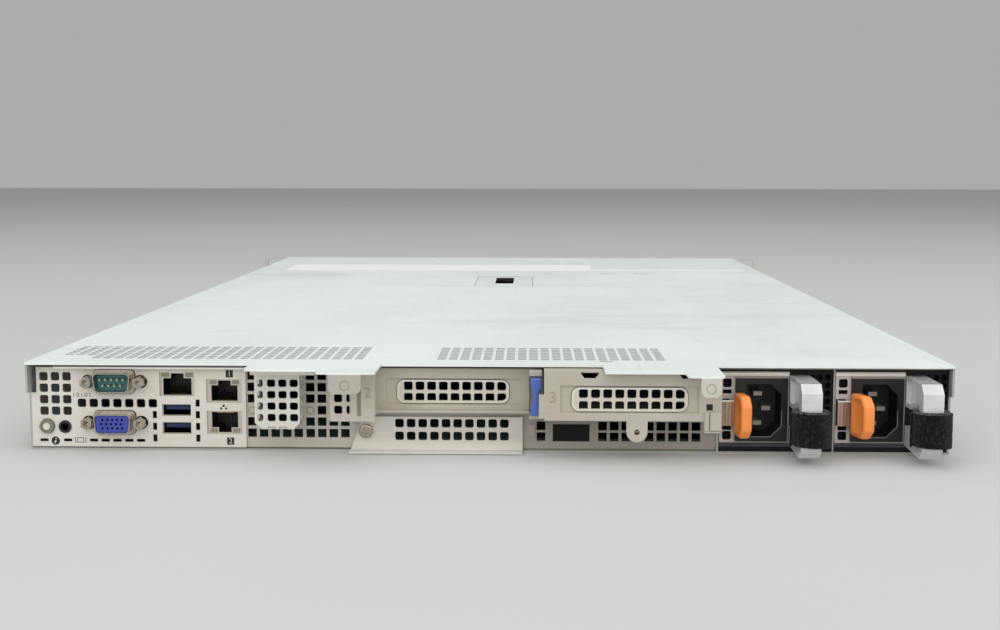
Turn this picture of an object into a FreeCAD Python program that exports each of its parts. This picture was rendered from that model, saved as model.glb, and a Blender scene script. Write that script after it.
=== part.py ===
import FreeCAD, Part
import Sketcher
import math
import os
import re

# A rack server one unit high, with its rear connectors, risers, two power supplies and four front drives.
# X runs to the right as seen from behind, Y from the rear to the front, Z up.
# The origin is the centre of the chassis underside, and every size is in millimetres.

SIZES = {
    # chassis and sheet metal
    "chassis_width": 434.0,
    "chassis_height": 42.8,
    "chassis_depth": 712.0,
    "gauge": 1.0,
    "slip": 0.3,
    "wing_reach": 5.0,
    "wing_low": 28.0,
    "stud_radius": 3.0,
    "stud_reach": 3.0,
    "stud_head_radius": 4.6,
    "stud_head": 1.2,
    "stud_height": 21.4,
    "stud_inset": 90.0,
    "stud_pitch": 160.0,
    # perforations
    "vent_hole": 4.1,
    "vent_pitch": 5.5,
    "vent_corner": 1.0,
    # connector panel
    "io_right": -114.0,
    "io_high": 39.7,
    "io_notch": 2.4,
    "io_notch_low": 27.5,
    "io_lip_left": -204.0,
    "io_lip": 4.0,
    "io_lip_height": 1.5,
    "io_vent_across": -210.1,
    "io_vent_up": 18.8,
    "io_row_across": -192.1,
    "io_row_up": 22.6,
    "io_row_pitch": 5.63,
    "slit_long": 4.0,
    "slit_short": 1.5,
    "slit_up": 4.7,
    "slit_left": -210.6,
    "slit_left_pitch": 11.3,
    "slit_right": -186.9,
    "slit_tall": 3.5,
    "slit_thin": 2.0,
    "slit_upright_left": -157.5,
    "slit_upright_right": -137.0,
    "slit_upright_low": 5.9,
    "button_across": -208.9,
    "button_up": 11.5,
    "button_radius": 3.3,
    "button_proud": 1.6,
    "button_long": 8.0,
    "button_lens": 1.7,
    "button_groove": 0.9,
    "button_groove_depth": 0.5,
    "socket_across": -200.4,
    "socket_up": 11.2,
    "socket_radius": 3.0,
    "socket_bore": 1.8,
    "socket_long": 11.0,
    # serial and video ports
    "dsub_across": -176.4,
    "serial_up": 33.0,
    "video_up": 13.4,
    "dsub_width": 18.0,
    "dsub_height": 9.4,
    "dsub_taper": 1.0,
    "dsub_corner": 2.4,
    "dsub_reach": 5.6,
    "dsub_wall": 0.5,
    "dsub_rim_width": 19.8,
    "dsub_rim_height": 11.4,
    "dsub_rim": 1.0,
    "dsub_flange_width": 30.8,
    "dsub_flange_height": 12.4,
    "dsub_flange": 0.8,
    "insert_gap": 0.1,
    "insert_depth": 8.0,
    "serial_floor": 4.6,
    "video_floor": 0.6,
    "contact_short": 0.8,
    "pin_radius": 0.5,
    "pin_pitch": 2.77,
    "pin_rows": 2.84,
    "video_hole": 0.6,
    "video_hole_depth": 3.0,
    "video_pitch": 2.3,
    "video_rows": 2.0,
    "post_spacing": 25.0,
    "post_radius": 2.9,
    "post_reach": 5.0,
    "post_bore": 1.4,
    "post_bore_depth": 4.0,
    # network and USB connectors
    "management_across": -146.6,
    "management_width": 16.7,
    "management_low": 26.1,
    "management_high": 37.9,
    "lan_across": -124.25,
    "lan_width": 16.9,
    "lan_upper_low": 23.0,
    "lan_upper_high": 34.4,
    "lan_lower_low": 8.0,
    "lan_lower_high": 19.2,
    "jack_rim": 0.8,
    "jack_depth": 18.0,
    "plug_width": 12.4,
    "plug_height": 7.4,
    "management_plug_width": 13.4,
    "management_plug_height": 8.0,
    "plug_depth": 13.0,
    "tab_width": 6.0,
    "tab_height": 2.3,
    "usb_across": -147.0,
    "usb_width": 13.7,
    "usb_height": 5.7,
    "usb_lower_up": 10.8,
    "usb_upper_up": 19.4,
    "usb_rim": 0.45,
    "usb_depth": 17.0,
    "usb_hollow": 14.0,
    "tongue_width": 11.2,
    "tongue_height": 1.9,
    "tongue_short": 1.0,
    # rear wall and vent box
    "wall_high": 40.0,
    "wall_lap": 0.5,
    "wall_vent_across": -111.3,
    "wall_vent_up": 8.5,
    "wall_vent_right": -83.6,
    "wall_rivet": 1.3,
    "wall_rivet_proud": 0.5,
    "stop_left": 19.4,
    "stop_right": 22.6,
    "stop_low": 7.6,
    "stop_high": 13.4,
    "box_left": -107.9,
    "box_right": -86.8,
    "box_low": 12.4,
    "box_high": 38.2,
    "box_reach": 11.0,
    "box_gauge": 0.8,
    "box_chamfer": 3.0,
    "box_vent_across": -105.25,
    "box_vent_up": 17.9,
    "box_vent_pitch": 5.4,
    "box_vent_columns": 5.25,
    "box_vent_width": 3.8,
    "box_vent_height": 3.5,
    "box_vent_narrow": 2.6,
    "box_arch": 1.2,
    "box_side_vent": 5.0,
    # riser cages and slot fillers
    "riser_two_left": -51.5,
    "riser_two_right": 20.0,
    "riser_low": 18.0,
    "riser_high": 39.8,
    "window_two_left": -47.5,
    "window_two_right": 15.6,
    "window_low": 22.8,
    "window_high": 35.2,
    "ledge_reach": 4.0,
    "ledge_high": 20.5,
    "post_two_left": -57.8,
    "post_two_reach": 13.0,
    "post_two_low": 19.3,
    "flag_left": -72.5,
    "flag_right": -59.8,
    "flag_low": 16.8,
    "flag_high": 31.0,
    "flag_vent_across": -68.45,
    "flag_vent_up": 22.3,
    "flag_vent_rows": 5.4,
    "flag_slot_across": -63.6,
    "flag_slot": 2.1,
    "riser_leg": 110.0,
    "filler_lap": 1.0,
    "emboss_inset": 5.2,
    "emboss_low": 23.5,
    "emboss_high": 34.4,
    "emboss_corner": 3.6,
    "emboss_height": 1.0,
    "filler_vent_up": 26.1,
    "filler_vent_inset": 10.5,
    "riser_three_left": 26.8,
    "riser_three_right": 99.6,
    "riser_three_low": 19.0,
    "riser_three_high": 41.2,
    "riser_three_reach": 20.0,
    "window_three_left": 34.2,
    "window_three_right": 97.3,
    "notch_width": 9.0,
    "notch_foot": 5.0,
    "notch_depth": 2.6,
    "notch_left": 47.6,
    "notch_right": 92.3,
    "riser_tab_left": 64.4,
    "riser_tab_right": 74.0,
    "riser_tab_low": 9.2,
    "riser_tab_hole": 1.3,
    "riser_tab_hole_up": 13.8,
    "side_post_right": 107.6,
    "side_post_low": 14.4,
    "side_post_high": 33.0,
    "side_hook": 3.0,
    "side_tab_left": 24.4,
    "side_tab_low": 20.0,
    "side_tab_high": 31.0,
    "card_gauge": 1.6,
    "card_long": 90.0,
    "card_rear": 14.0,
    "card_two_across": 17.0,
    "card_three_across": 95.4,
    "card_high": 36.0,
    # lower slot panel
    "lower_left": -64.6,
    "lower_slant": 6.0,
    "lower_right": 16.9,
    "lower_low": 0.4,
    "lower_high": 17.0,
    "lower_lip": 7.0,
    "lower_vent_across": -41.2,
    "lower_vent_up": 7.8,
    "lower_vent_rows": 6.1,
    "right_vent_across": 54.6,
    "right_vent_up": 7.4,
    "right_vent_rows": 5.2,
    "lone_vent_across": 25.6,
    "screw_across": -57.0,
    "screw_up": 10.3,
    "screw_head_radius": 3.3,
    "screw_head": 2.2,
    "screw_radius": 1.5,
    # slot latch
    "latch_left": 20.6,
    "latch_right": 25.8,
    "latch_low": 20.0,
    "latch_high": 37.2,
    "latch_front": 4.6,
    "latch_reach": 14.0,
    "latch_waist": 1.6,
    "latch_pin": 1.0,
    "latch_pin_across": 22.4,
    "latch_pin_back": 6.8,
    "latch_pin_long": 1.2,
    "shelf_gauge": 1.5,
    "cap_low": 37.8,
    "cap_high": 40.4,
    "cap_reach": 9.0,
    "pin_fit": 0.05,
    # top cover
    "cover_overhang": 7.0,
    "cover_length": 541.0,
    "cover_flange": 6.0,
    "cover_flange_rear": 60.0,
    "cover_flange_front": 12.0,
    "cover_corner": 1.5,
    "hood_left": -110.0,
    "hood_step": -76.0,
    "hood_right": -49.0,
    "hood_reach": 24.0,
    "hood_far": 33.0,
    "hood_lip": 1.7,
    "hood_tab_left": -70.2,
    "hood_tab_right": -55.4,
    "hood_tab_low": 33.0,
    "hood_tab_corner": 3.0,
    "hood_dimple": 2.2,
    "dimple_depth": 0.3,
    "dimple_rise": 3.8,
    "porch_left": 54.0,
    "porch_step": 90.0,
    "porch_right": 106.5,
    "porch_reach": 28.0,
    "porch_far": 39.0,
    "porch_tab_left": 95.9,
    "porch_tab_right": 104.9,
    "porch_tab_low": 33.2,
    "cover_vent": 4.0,
    "cover_vent_left": -204.5,
    "cover_vent_near": -188.0,
    "cover_vent_right": -22.0,
    "cover_vent_rear": 11.0,
    "cover_slot_across": 56.2,
    "cover_slot_rear": 5.5,
    "cover_slot_width": 6.0,
    "cover_slot_long": 3.6,
    "front_slot_along": 522.0,
    "front_slot_first": 35.5,
    "front_slot_second": 85.6,
    "front_slot_third": 113.5,
    "front_slot_broad": 12.6,
    "front_slot_long": 4.0,
    "lever_rear": 400.0,
    "lever_long": 92.0,
    "lever_width": 44.0,
    "lever_gauge": 1.6,
    "lever_finger_width": 14.2,
    "lever_finger_rear": 28.0,
    "lever_finger_long": 54.0,
    "lever_pin": 1.4,
    "pan_depth": 5.0,
    # power supplies
    "bay_left": 109.0,
    "bay_depth": 200.0,
    "divider": 0.7,
    "bay_top": 0.8,
    "psu_pitch": 54.0,
    "psu_width": 52.4,
    "psu_height": 38.6,
    "psu_length": 190.0,
    "psu_vent_across": 3.5,
    "psu_vent_low": 7.5,
    "psu_vent_high": 32.4,
    "psu_vent_slot": 1.9,
    "psu_vent_slot_low": 11.0,
    "psu_vent_slot_high": 28.3,
    "psu_vent_depth": 4.0,
    "grille_across": 42.6,
    "grille_up": 20.0,
    "grille_hole": 1.5,
    "grille_pitch": 3.8,
    "inlet_left": 7.2,
    "inlet_width": 24.4,
    "inlet_low": 4.9,
    "inlet_height": 30.6,
    "inlet_proud": 1.5,
    "inlet_depth": 20.0,
    "inlet_mouth_left": 12.2,
    "inlet_mouth_width": 16.4,
    "inlet_mouth_low": 7.3,
    "inlet_mouth_height": 24.8,
    "inlet_mouth_cut": 5.0,
    "inlet_mouth_depth": 16.0,
    "blade_long": 10.0,
    "blade_width": 4.0,
    "blade_gauge": 2.0,
    "blade_spacing": 7.0,
    "blade_offset": 2.0,
    "handle_left": 32.6,
    "handle_width": 9.2,
    "handle_top": 36.2,
    "handle_low": 2.2,
    "handle_reach": 30.0,
    "handle_grip": 7.0,
    "handle_corner": 4.0,
    "handle_arm_high": 21.8,
    "handle_arm_low": 12.6,
    "handle_root": 9.0,
    "handle_gap_high": 26.4,
    "handle_gap_low": 8.2,
    "handle_recess": 2.2,
    "handle_rim": 2.0,
    "strap_wrap": 4.6,
    "strap_side": 5.2,
    "strap_low": 8.6,
    "strap_high": 24.2,
    "strap_corner": 4.4,
    "spring_across": 0.7,
    "spring_gauge": 0.8,
    "spring_low": 12.6,
    "spring_high": 24.6,
    "spring_long": 28.0,
    "spring_stand": 2.2,
    "spring_foot": 9.0,
    "spring_room": 4.4,
    "thumb_left": 6.2,
    "thumb_width": 5.0,
    "thumb_low": 8.4,
    "thumb_high": 28.4,
    "thumb_reach": 17.0,
    "thumb_corner": 4.0,
    "thumb_round": 1.6,
    "thumb_dish": 14.0,
    "thumb_dish_depth": 1.2,
    # front end
    "ear_span": 482.0,
    "ear_gauge": 3.0,
    "ear_leg": 40.0,
    "ear_leg_gauge": 1.5,
    "ear_lap": 2.0,
    "rack_hole_spacing": 465.1,
    "rack_hole_rise": 31.75,
    "rack_hole_radius": 3.5,
    "rack_slot": 10.0,
    "pod_width": 21.0,
    "pod_height": 18.0,
    "pod_reach": 14.0,
    "pod_corner": 3.0,
    "power_radius": 4.0,
    "power_proud": 1.4,
    "power_long": 9.0,
    "power_travel": 1.0,
    "cage_depth": 170.6,
    "cage_dimple": 2.2,
    "cage_dimple_pitch": 82.0,
    "cage_dimple_left": -114.0,
    "cage_dimple_far": 34.0,
    "cage_dimple_near": 18.0,
    "cage_dimple_shift": 7.0,
    "grille_low": 31.4,
    "front_slot_width": 13.0,
    "front_slot_height": 3.0,
    "front_slot_pitch": 16.4,
    "front_slot_rows": 5.0,
    "carrier_width": 105.0,
    "carrier_height": 28.6,
    "bezel_rear": 2.0,
    "bezel_front": 20.0,
    "rail_gauge": 1.4,
    "rail_height": 20.0,
    "carrier_long": 150.0,
    "disk_width": 101.6,
    "disk_height": 26.1,
    "disk_long": 146.0,
    "disk_lift": 0.6,
    "well_left": 6.0,
    "well_right": 4.0,
    "well_low": 5.0,
    "well_high": 24.0,
    "well_depth": 9.0,
    "arm_pin": 1.6,
    "arm_pin_inset": 5.0,
    "arm_pin_long": 2.0,
    "arm_gauge": 4.4,
    "arm_groove": 1.0,
    "arm_groove_pitch": 2.2,
    "arm_groove_depth": 0.7,
    "arm_groove_inset": 18.0,
    "bezel_slot_width": 11.0,
    "bezel_slot_height": 3.0,
    "bezel_slot_pitch": 14.0,
    "backplane_gauge": 2.0,
    "backplane_high": 38.0,
    "backplane_slot": 46.0,
    "backplane_slot_rise": 9.0,
    # board, heatsinks, memory and fans
    "board_low": 4.4,
    "board_gauge": 1.6,
    "board_left": -212.0,
    "board_rear": 3.0,
    "board_front": 400.0,
    "board_edge": 2.0,
    "standoff_radius": 2.6,
    "standoff_left": -200.0,
    "standoff_pitch": 95.0,
    "standoff_rear": 12.0,
    "standoff_rows": 180.0,
    "cpu_across": 85.0,
    "cpu_along": 326.0,
    "cpu_width": 72.0,
    "cpu_long": 78.0,
    "cpu_high": 5.0,
    "sink_width": 77.0,
    "sink_long": 108.0,
    "sink_base": 4.0,
    "sink_fin": 20.0,
    "sink_fin_gauge": 0.8,
    "sink_fin_pitch": 4.0,
    "slot_width": 5.6,
    "slot_long": 142.0,
    "slot_rise": 6.4,
    "slot_pitch": 7.6,
    "slot_key": 3.0,
    "memory_long": 133.3,
    "memory_gauge": 1.3,
    "memory_rise": 29.0,
    "memory_fit": 0.1,
    "bank_outer": 129.0,
    "bank_inner": 41.8,
    "feed_width": 32.0,
    "feed_high": 9.0,
    "feed_gap": 0.4,
    "fan_size": 38.0,
    "fan_long": 28.0,
    "fan_pitch": 66.0,
    "fan_along": 516.0,
    "fan_bore": 17.9,
    "fan_hub": 8.6,
    "fan_tip": 17.2,
    "fan_blade": 1.0,
    "fan_root_lean": 7.0,
    "fan_tip_lean": 3.6,
    "fan_rear": 9.0,
    "fan_front": 7.0,
    "fan_base": 3.0,
    "fan_base_gap": 0.5,
    "fan_arm": 2.6,
    "fan_shaft": 1.5,
}

doc = FreeCAD.newDocument("rack_server")
sheet = doc.addObject("Spreadsheet::Sheet", "Sizes")
for row, (size_name, size_value) in enumerate(SIZES.items(), start=1):
    sheet.set("A%d" % row, size_name)
    sheet.set("B%d" % row, str(size_value))
    sheet.setAlias("B%d" % row, size_name)
doc.recompute()


def bound(formula):
    """Points every size named in a formula at its cell of the sheet."""
    return re.sub(r"[a-z][a-z_]+", lambda word: "Sizes." + word.group(0), formula)


def amount(formula):
    """The present value of a formula."""
    return float(sheet.evalExpression(bound(formula)))


class Outline:
    """A closed outline through corners given as formulas, with every corner rounded if a radius is given."""

    def __init__(self, corners, radius=None):
        self.corners = corners
        self.radius = radius

    def pin_to(self, sketch, geometry, point, corner):
        for kind, formula in zip(("DistanceX", "DistanceY"), corner):
            rule = Sketcher.Constraint(kind, -1, 1, geometry, point, amount(formula))
            number = sketch.addConstraint(rule)
            sketch.setExpression("Constraints[%d]" % number, bound(formula))

    def draw(self, sketch):
        points = [FreeCAD.Vector(amount(across), amount(up), 0) for across, up in self.corners]
        if self.radius is None:
            self.draw_sharp(sketch, points)
        else:
            self.draw_round(sketch, points, amount(self.radius))

    def draw_sharp(self, sketch, points):
        following = points[1:] + points[:1]
        lines = [sketch.addGeometry(Part.LineSegment(a, b)) for a, b in zip(points, following)]
        for line, after in zip(lines, lines[1:] + lines[:1]):
            sketch.addConstraint(Sketcher.Constraint("Coincident", line, 2, after, 1))
        for line, corner in zip(lines, self.corners):
            self.pin_to(sketch, line, 1, corner)

    def draw_round(self, sketch, points, radius):
        count = len(points)
        starts, ends, centres = [], [], []
        for index, corner in enumerate(points):
            back = (points[index - 1] - corner).normalize()
            ahead = (points[(index + 1) % count] - corner).normalize()
            half_angle = back.getAngle(ahead) / 2
            starts.append(corner + back * (radius / math.tan(half_angle)))
            ends.append(corner + ahead * (radius / math.tan(half_angle)))
            centres.append(corner + (back + ahead).normalize() * (radius / math.sin(half_angle)))
        lines, arcs, left_turns = [], [], []
        for index, corner in enumerate(points):
            after = (index + 1) % count
            lines.append(sketch.addGeometry(Part.LineSegment(ends[index], starts[after])))
            middle = centres[index] + (corner - centres[index]).normalize() * radius
            arcs.append(sketch.addGeometry(Part.Arc(starts[index], middle, ends[index])))
            left_turns.append((corner - points[index - 1]).cross(points[after] - corner).z > 0)
        for index, corner in enumerate(self.corners):
            begin, finish = (1, 2) if left_turns[index] else (2, 1)
            sketch.addConstraint(Sketcher.Constraint("Tangent", lines[index - 1], 2, arcs[index], begin))
            sketch.addConstraint(Sketcher.Constraint("Tangent", arcs[index], finish, lines[index], 1))
            number = sketch.addConstraint(Sketcher.Constraint("Radius", arcs[index], radius))
            sketch.setExpression("Constraints[%d]" % number, bound(self.radius))
            mark = sketch.addGeometry(Part.Point(points[index]), True)
            self.pin_to(sketch, mark, 1, corner)
            for line in (lines[index - 1], lines[index]):
                sketch.addConstraint(Sketcher.Constraint("PointOnObject", mark, 1, line))


class Disc(Outline):
    """A full circle."""

    def __init__(self, across, up, radius):
        super().__init__([(across, up)], radius)

    def draw(self, sketch):
        centre = FreeCAD.Vector(amount(self.corners[0][0]), amount(self.corners[0][1]), 0)
        circle = sketch.addGeometry(Part.Circle(centre, FreeCAD.Vector(0, 0, 1), amount(self.radius)))
        self.pin_to(sketch, circle, 3, self.corners[0])
        number = sketch.addConstraint(Sketcher.Constraint("Radius", circle, amount(self.radius)))
        sketch.setExpression("Constraints[%d]" % number, bound(self.radius))


def loop(*corners, radius=None):
    return Outline(list(corners), radius)


def box(left, low, right, high, radius=None):
    return Outline([(left, low), (right, low), (right, high), (left, high)], radius)


def centred(across, up, width, height, radius=None):
    halves = "((%s) / 2)" % width, "((%s) / 2)" % height
    return box(f"{across} - {halves[0]}", f"{up} - {halves[1]}",
               f"{across} + {halves[0]}", f"{up} + {halves[1]}", radius)


PLANES = {"X": "YZ_Plane", "Y": "XZ_Plane", "Z": "XY_Plane"}
pieces = []


class Piece:
    """One piece of the server: a body made of sketched pads and cuts between stations along an axis."""

    def __init__(self, label, at=("0", "0", "0")):
        self.body = doc.addObject("PartDesign::Body", label)
        self.body.Label = label
        self.body.AllowCompound = True
        for axis, formula in zip("xyz", at):
            self.body.setExpression("Placement.Base." + axis, bound(formula))
        pieces.append(self.body)

    def add(self, kind):
        number = len(self.body.Group) + 1
        return self.body.newObject(kind, "%s_%d" % (self.body.Label, number))

    def sketch(self, axis, station, outlines):
        drawing = self.add("Sketcher::SketchObject")
        plane = next(item for item in self.body.Origin.OriginFeatures if item.Role == PLANES[axis])
        drawing.AttachmentSupport = (plane, [""])
        drawing.MapMode = "FlatFace"
        # a sketch on the XZ plane faces -Y, so its offset counts backwards
        offset = f"-({station})" if axis == "Y" else station
        drawing.setExpression("AttachmentOffset.Base.z", bound(offset))
        for outline in outlines:
            outline.draw(drawing)
        return drawing

    def swept(self, kind, axis, station, start, end, outlines):
        drawing = self.sketch(axis, station, outlines)
        feature = self.add(kind)
        feature.Profile = drawing
        feature.Refine = False
        feature.setExpression("Length", bound(f"({end}) - ({start})"))
        return feature

    def pad(self, axis, start, end, *outlines):
        """Adds material between two stations."""
        station = end if axis == "Y" else start
        return self.swept("PartDesign::Pad", axis, station, start, end, outlines)

    def cut(self, axis, start, end, *outlines):
        """Takes material away between two stations."""
        station = start if axis == "Y" else end
        return self.swept("PartDesign::Pocket", axis, station, start, end, outlines)

    def grid(self, feature, columns, pitch, rows=1, row_pitch="0"):
        """Repeats a pad or a cut along its sketch's own two axes."""
        pattern = self.add("PartDesign::LinearPattern")
        drawing = feature.Profile[0]
        pattern.Originals = [feature]
        pattern.Refine = False
        pattern.Direction = (drawing, ["H_Axis" if columns > 1 else "V_Axis"])
        first, first_pitch = (columns, pitch) if columns > 1 else (rows, row_pitch)
        pattern.Occurrences = first
        pattern.setExpression("Length", bound(f"{first - 1} * ({first_pitch})"))
        if columns > 1 and rows > 1:
            pattern.Direction2 = (drawing, ["V_Axis"])
            pattern.Occurrences2 = rows
            pattern.setExpression("Length2", bound(f"{rows - 1} * ({row_pitch})"))
        self.body.Tip = pattern
        return pattern


# Stations that many pieces share
rear = "(-chassis_depth / 2)"
front = "(chassis_depth / 2)"
half = "(chassis_width / 2)"
inner = "(chassis_width / 2 - gauge)"
lid = "(chassis_height - gauge)"
panel_back = f"({rear} + gauge)"
wall_back = f"({rear} + 2 * gauge)"
board_top = "(board_low + board_gauge)"
bay_right = "(bay_left + 2 * psu_pitch - slip)"

# Chassis tray: one folded sheet, with wings behind the rear wall, pressed standoffs and rail studs
tray = Piece("chassis_tray")
tray.pad("Y", rear, front, loop(
    (f"-{half}", "0"), (half, "0"), (half, lid), (inner, lid),
    (inner, "gauge"), (f"-{inner}", "gauge"), (f"-{inner}", lid), (f"-{half}", lid)))
for low_side, high_side in ((f"-{half}", f"-{inner}"), (inner, half)):
    tray.pad("X", low_side, high_side, box(f"{rear} - wing_reach", "wing_low", rear, lid))
standoff = tray.pad("Z", "gauge", "board_low", Disc(
    "standoff_left", f"{rear} + standoff_rear", "standoff_radius"))
tray.grid(standoff, columns=4, pitch="standoff_pitch", rows=3, row_pitch="standoff_rows")
for side in ("-1", "1"):
    wall_face = f"{side} * {half}"
    neck_end = f"{side} * ({half} + stud_reach)"
    head_end = f"{side} * ({half} + stud_reach + stud_head)"
    stations = [wall_face, neck_end, head_end]
    if side == "-1":
        stations.reverse()
    spans = {"stud_radius": (0, 1), "stud_head_radius": (1, 2)}
    if side == "-1":
        spans = {"stud_radius": (1, 2), "stud_head_radius": (0, 1)}
    for radius, (begin, finish) in spans.items():
        stud = tray.pad("X", stations[begin], stations[finish],
                        Disc(f"{rear} + stud_inset", "stud_height", radius))
        tray.grid(stud, columns=4, pitch="stud_pitch")

# Connector panel: pressed sheet with a window for every port and a lip under the cover
panel = Piece("io_panel")
panel.pad("Y", rear, panel_back, loop(
    (f"-{inner}", "gauge"), ("io_right", "gauge"), ("io_right", "io_high"),
    (f"-{inner} + io_notch", "io_high"), (f"-{inner} + io_notch", "io_notch_low"),
    (f"-{inner}", "io_notch_low")))
panel.pad("Y", f"{rear} - io_lip", panel_back, box(
    "io_lip_left", "io_high - pin_fit", "io_right", "io_high + io_lip_height"))
windows = [
    Disc("button_across", "button_up", "button_radius + slip"),
    Disc("socket_across", "socket_up", "socket_radius + pin_fit"),
    box("management_across - management_width / 2", "management_low",
        "management_across + management_width / 2", "management_high"),
    box("lan_across - lan_width / 2", "lan_upper_low", "lan_across + lan_width / 2", "lan_upper_high"),
    box("lan_across - lan_width / 2", "lan_lower_low", "lan_across + lan_width / 2", "lan_lower_high"),
    centred("usb_across", "usb_lower_up", "usb_width", "usb_height"),
    centred("usb_across", "usb_upper_up", "usb_width", "usb_height"),
]
for port_up in ("serial_up", "video_up"):
    windows.append(centred("dsub_across", port_up, "dsub_rim_width + 2 * slip",
                           "dsub_rim_height + 2 * slip", "dsub_corner + slip"))
    for side in ("-", "+"):
        windows.append(Disc(f"dsub_across {side} post_spacing / 2", port_up, "post_radius + slip"))
panel.cut("Y", rear, panel_back, *windows[:7])
panel.cut("Y", rear, panel_back, *windows[7::3])
panel.cut("Y", rear, panel_back, *windows[8::3], *windows[9::3])
for slit_across, slit_count, slit_pitch in (
        ("slit_left", 2, "slit_left_pitch"), ("slit_right", 5, "io_row_pitch")):
    slit = panel.cut("Y", rear, panel_back, centred(slit_across, "slit_up", "slit_long", "slit_short"))
    panel.grid(slit, columns=slit_count, pitch=slit_pitch)
for slit_across, slit_count in (("slit_upright_left", 3), ("slit_upright_right", 4)):
    slit = panel.cut("Y", rear, panel_back, centred(
        slit_across, "slit_upright_low", "slit_thin", "slit_tall"))
    panel.grid(slit, columns=1, pitch="0", rows=slit_count, row_pitch="io_row_pitch")
squares = panel.cut("Y", rear, panel_back, centred(
    "io_row_across", "io_row_up", "vent_hole", "vent_hole", "vent_corner"))
panel.grid(squares, columns=7, pitch="io_row_pitch")
vents = panel.cut("Y", rear, panel_back, centred(
    "io_vent_across", "io_vent_up", "vent_hole", "vent_hole", "vent_corner"))
panel.grid(vents, columns=3, pitch="vent_pitch", rows=4, row_pitch="vent_pitch")

# Rear wall: perforated sheet lapped behind the connector panel, open where the risers pass
wall = Piece("rear_wall")
wall.pad("Y", panel_back, wall_back, box("io_right - wall_lap", "gauge", "bay_left - gauge", "wall_high"))
wall.pad("Y", rear, panel_back, box("stop_left", "stop_low", "stop_right", "stop_high"))
for rivet_across in ("wall_vent_across", "wall_vent_right"):
    wall.pad("Y", f"{panel_back} - wall_rivet_proud", panel_back, Disc(
        rivet_across, "wall_vent_up + 2 * vent_pitch", "wall_rivet"))
wall.cut("Y", panel_back, wall_back,
         box("box_left + gauge", "box_low + gauge", "box_right - gauge", "box_high - gauge"),
         box("riser_two_left - gauge - slip", "riser_low + gauge",
             "riser_two_right - 2 * gauge", "riser_high - gauge"),
         box("lower_vent_across - vent_hole", "lower_vent_up - vent_hole", "lower_right - 4 * gauge",
             "lower_vent_up + lower_vent_rows + vent_hole / 2"),
         box("riser_three_left - slip", "riser_three_low - slip",
             "riser_three_right + slip", "wall_high - gauge"),
         box("wall_vent_right + 2 * vent_pitch - vent_hole / 2",
             "wall_vent_up + 2 * vent_pitch - vent_hole / 2",
             "wall_vent_right + 3 * vent_pitch + vent_hole / 2",
             "wall_vent_up + 3 * vent_pitch + vent_hole / 2"))
for hole_across, hole_up, hole_columns, hole_rows, hole_rise in (
        ("lone_vent_across", "right_vent_up", 1, 2, "right_vent_rows"),
        ("wall_vent_across", "wall_vent_up", 1, 2, "vent_pitch"),
        ("wall_vent_across", "wall_vent_up + 3 * vent_pitch", 1, 3, "vent_pitch"),
        ("wall_vent_across + vent_pitch", "wall_vent_up", 4, 1, "vent_pitch"),
        ("wall_vent_right", "wall_vent_up", 1, 2, "vent_pitch"),
        ("wall_vent_right", "wall_vent_up + 3 * vent_pitch", 1, 3, "vent_pitch"),
        ("wall_vent_right + 2 * vent_pitch", "wall_vent_up", 2, 2, "vent_pitch"),
        ("wall_vent_right + 2 * vent_pitch", "wall_vent_up + 4 * vent_pitch", 2, 2, "vent_pitch"),
        ("wall_vent_right + vent_pitch", "wall_vent_up", 1, 6, "vent_pitch"),
        ("right_vent_across", "right_vent_up", 9, 2, "right_vent_rows")):
    hole = wall.cut("Y", panel_back, wall_back, centred(hole_across, hole_up, "vent_hole", "vent_hole"))
    wall.grid(hole, hole_columns, "vent_pitch", hole_rows, hole_rise)

# Vent box: a small perforated box that stands out of the rear wall
vent_box = Piece("vent_box")
box_rear = f"({panel_back} - box_reach)"


def box_outline(inset):
    corner = f"box_chamfer - {inset} / 2"
    return loop((f"box_left + {inset} + {corner}", f"box_low + {inset}"),
                (f"box_right - {inset} - ({corner})", f"box_low + {inset}"),
                (f"box_right - {inset}", f"box_low + {inset} + {corner}"),
                (f"box_right - {inset}", f"box_high - {inset}"),
                (f"box_left + {inset}", f"box_high - {inset}"),
                (f"box_left + {inset}", f"box_low + {inset} + {corner}"))


vent_box.pad("Y", box_rear, panel_back, box_outline("0"))
vent_box.cut("Y", f"{box_rear} + box_gauge", panel_back, box_outline("box_gauge"))
for hole_across, hole_width, hole_columns in (
        ("box_vent_across", "box_vent_narrow", 1),
        ("box_vent_across + box_vent_columns", "box_vent_width", 3)):
    box_hole = vent_box.cut("Y", box_rear, f"{box_rear} + box_gauge", centred(
        hole_across, "box_vent_up", hole_width, "box_vent_height", "vent_corner"))
    vent_box.grid(box_hole, hole_columns, "box_vent_columns", rows=4, row_pitch="box_vent_pitch")
arch = vent_box.cut("Y", box_rear, f"{box_rear} + box_gauge", box(
    "box_vent_across + box_vent_columns - box_vent_width / 2", "box_low",
    "box_vent_across + box_vent_columns + box_vent_width / 2", "box_low + box_arch"))
vent_box.grid(arch, columns=2, pitch="box_vent_columns")
box_side = vent_box.cut("X", "box_left", "box_right", centred(
    f"{panel_back} - box_reach / 2", "box_vent_up", "box_side_vent", "box_vent_height", "vent_corner"))
vent_box.grid(box_side, columns=1, pitch="0", rows=4, row_pitch="box_vent_pitch")

# Serial and video ports: a drawn shell with a rim and a flange behind the panel, and a moulded insert


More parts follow.
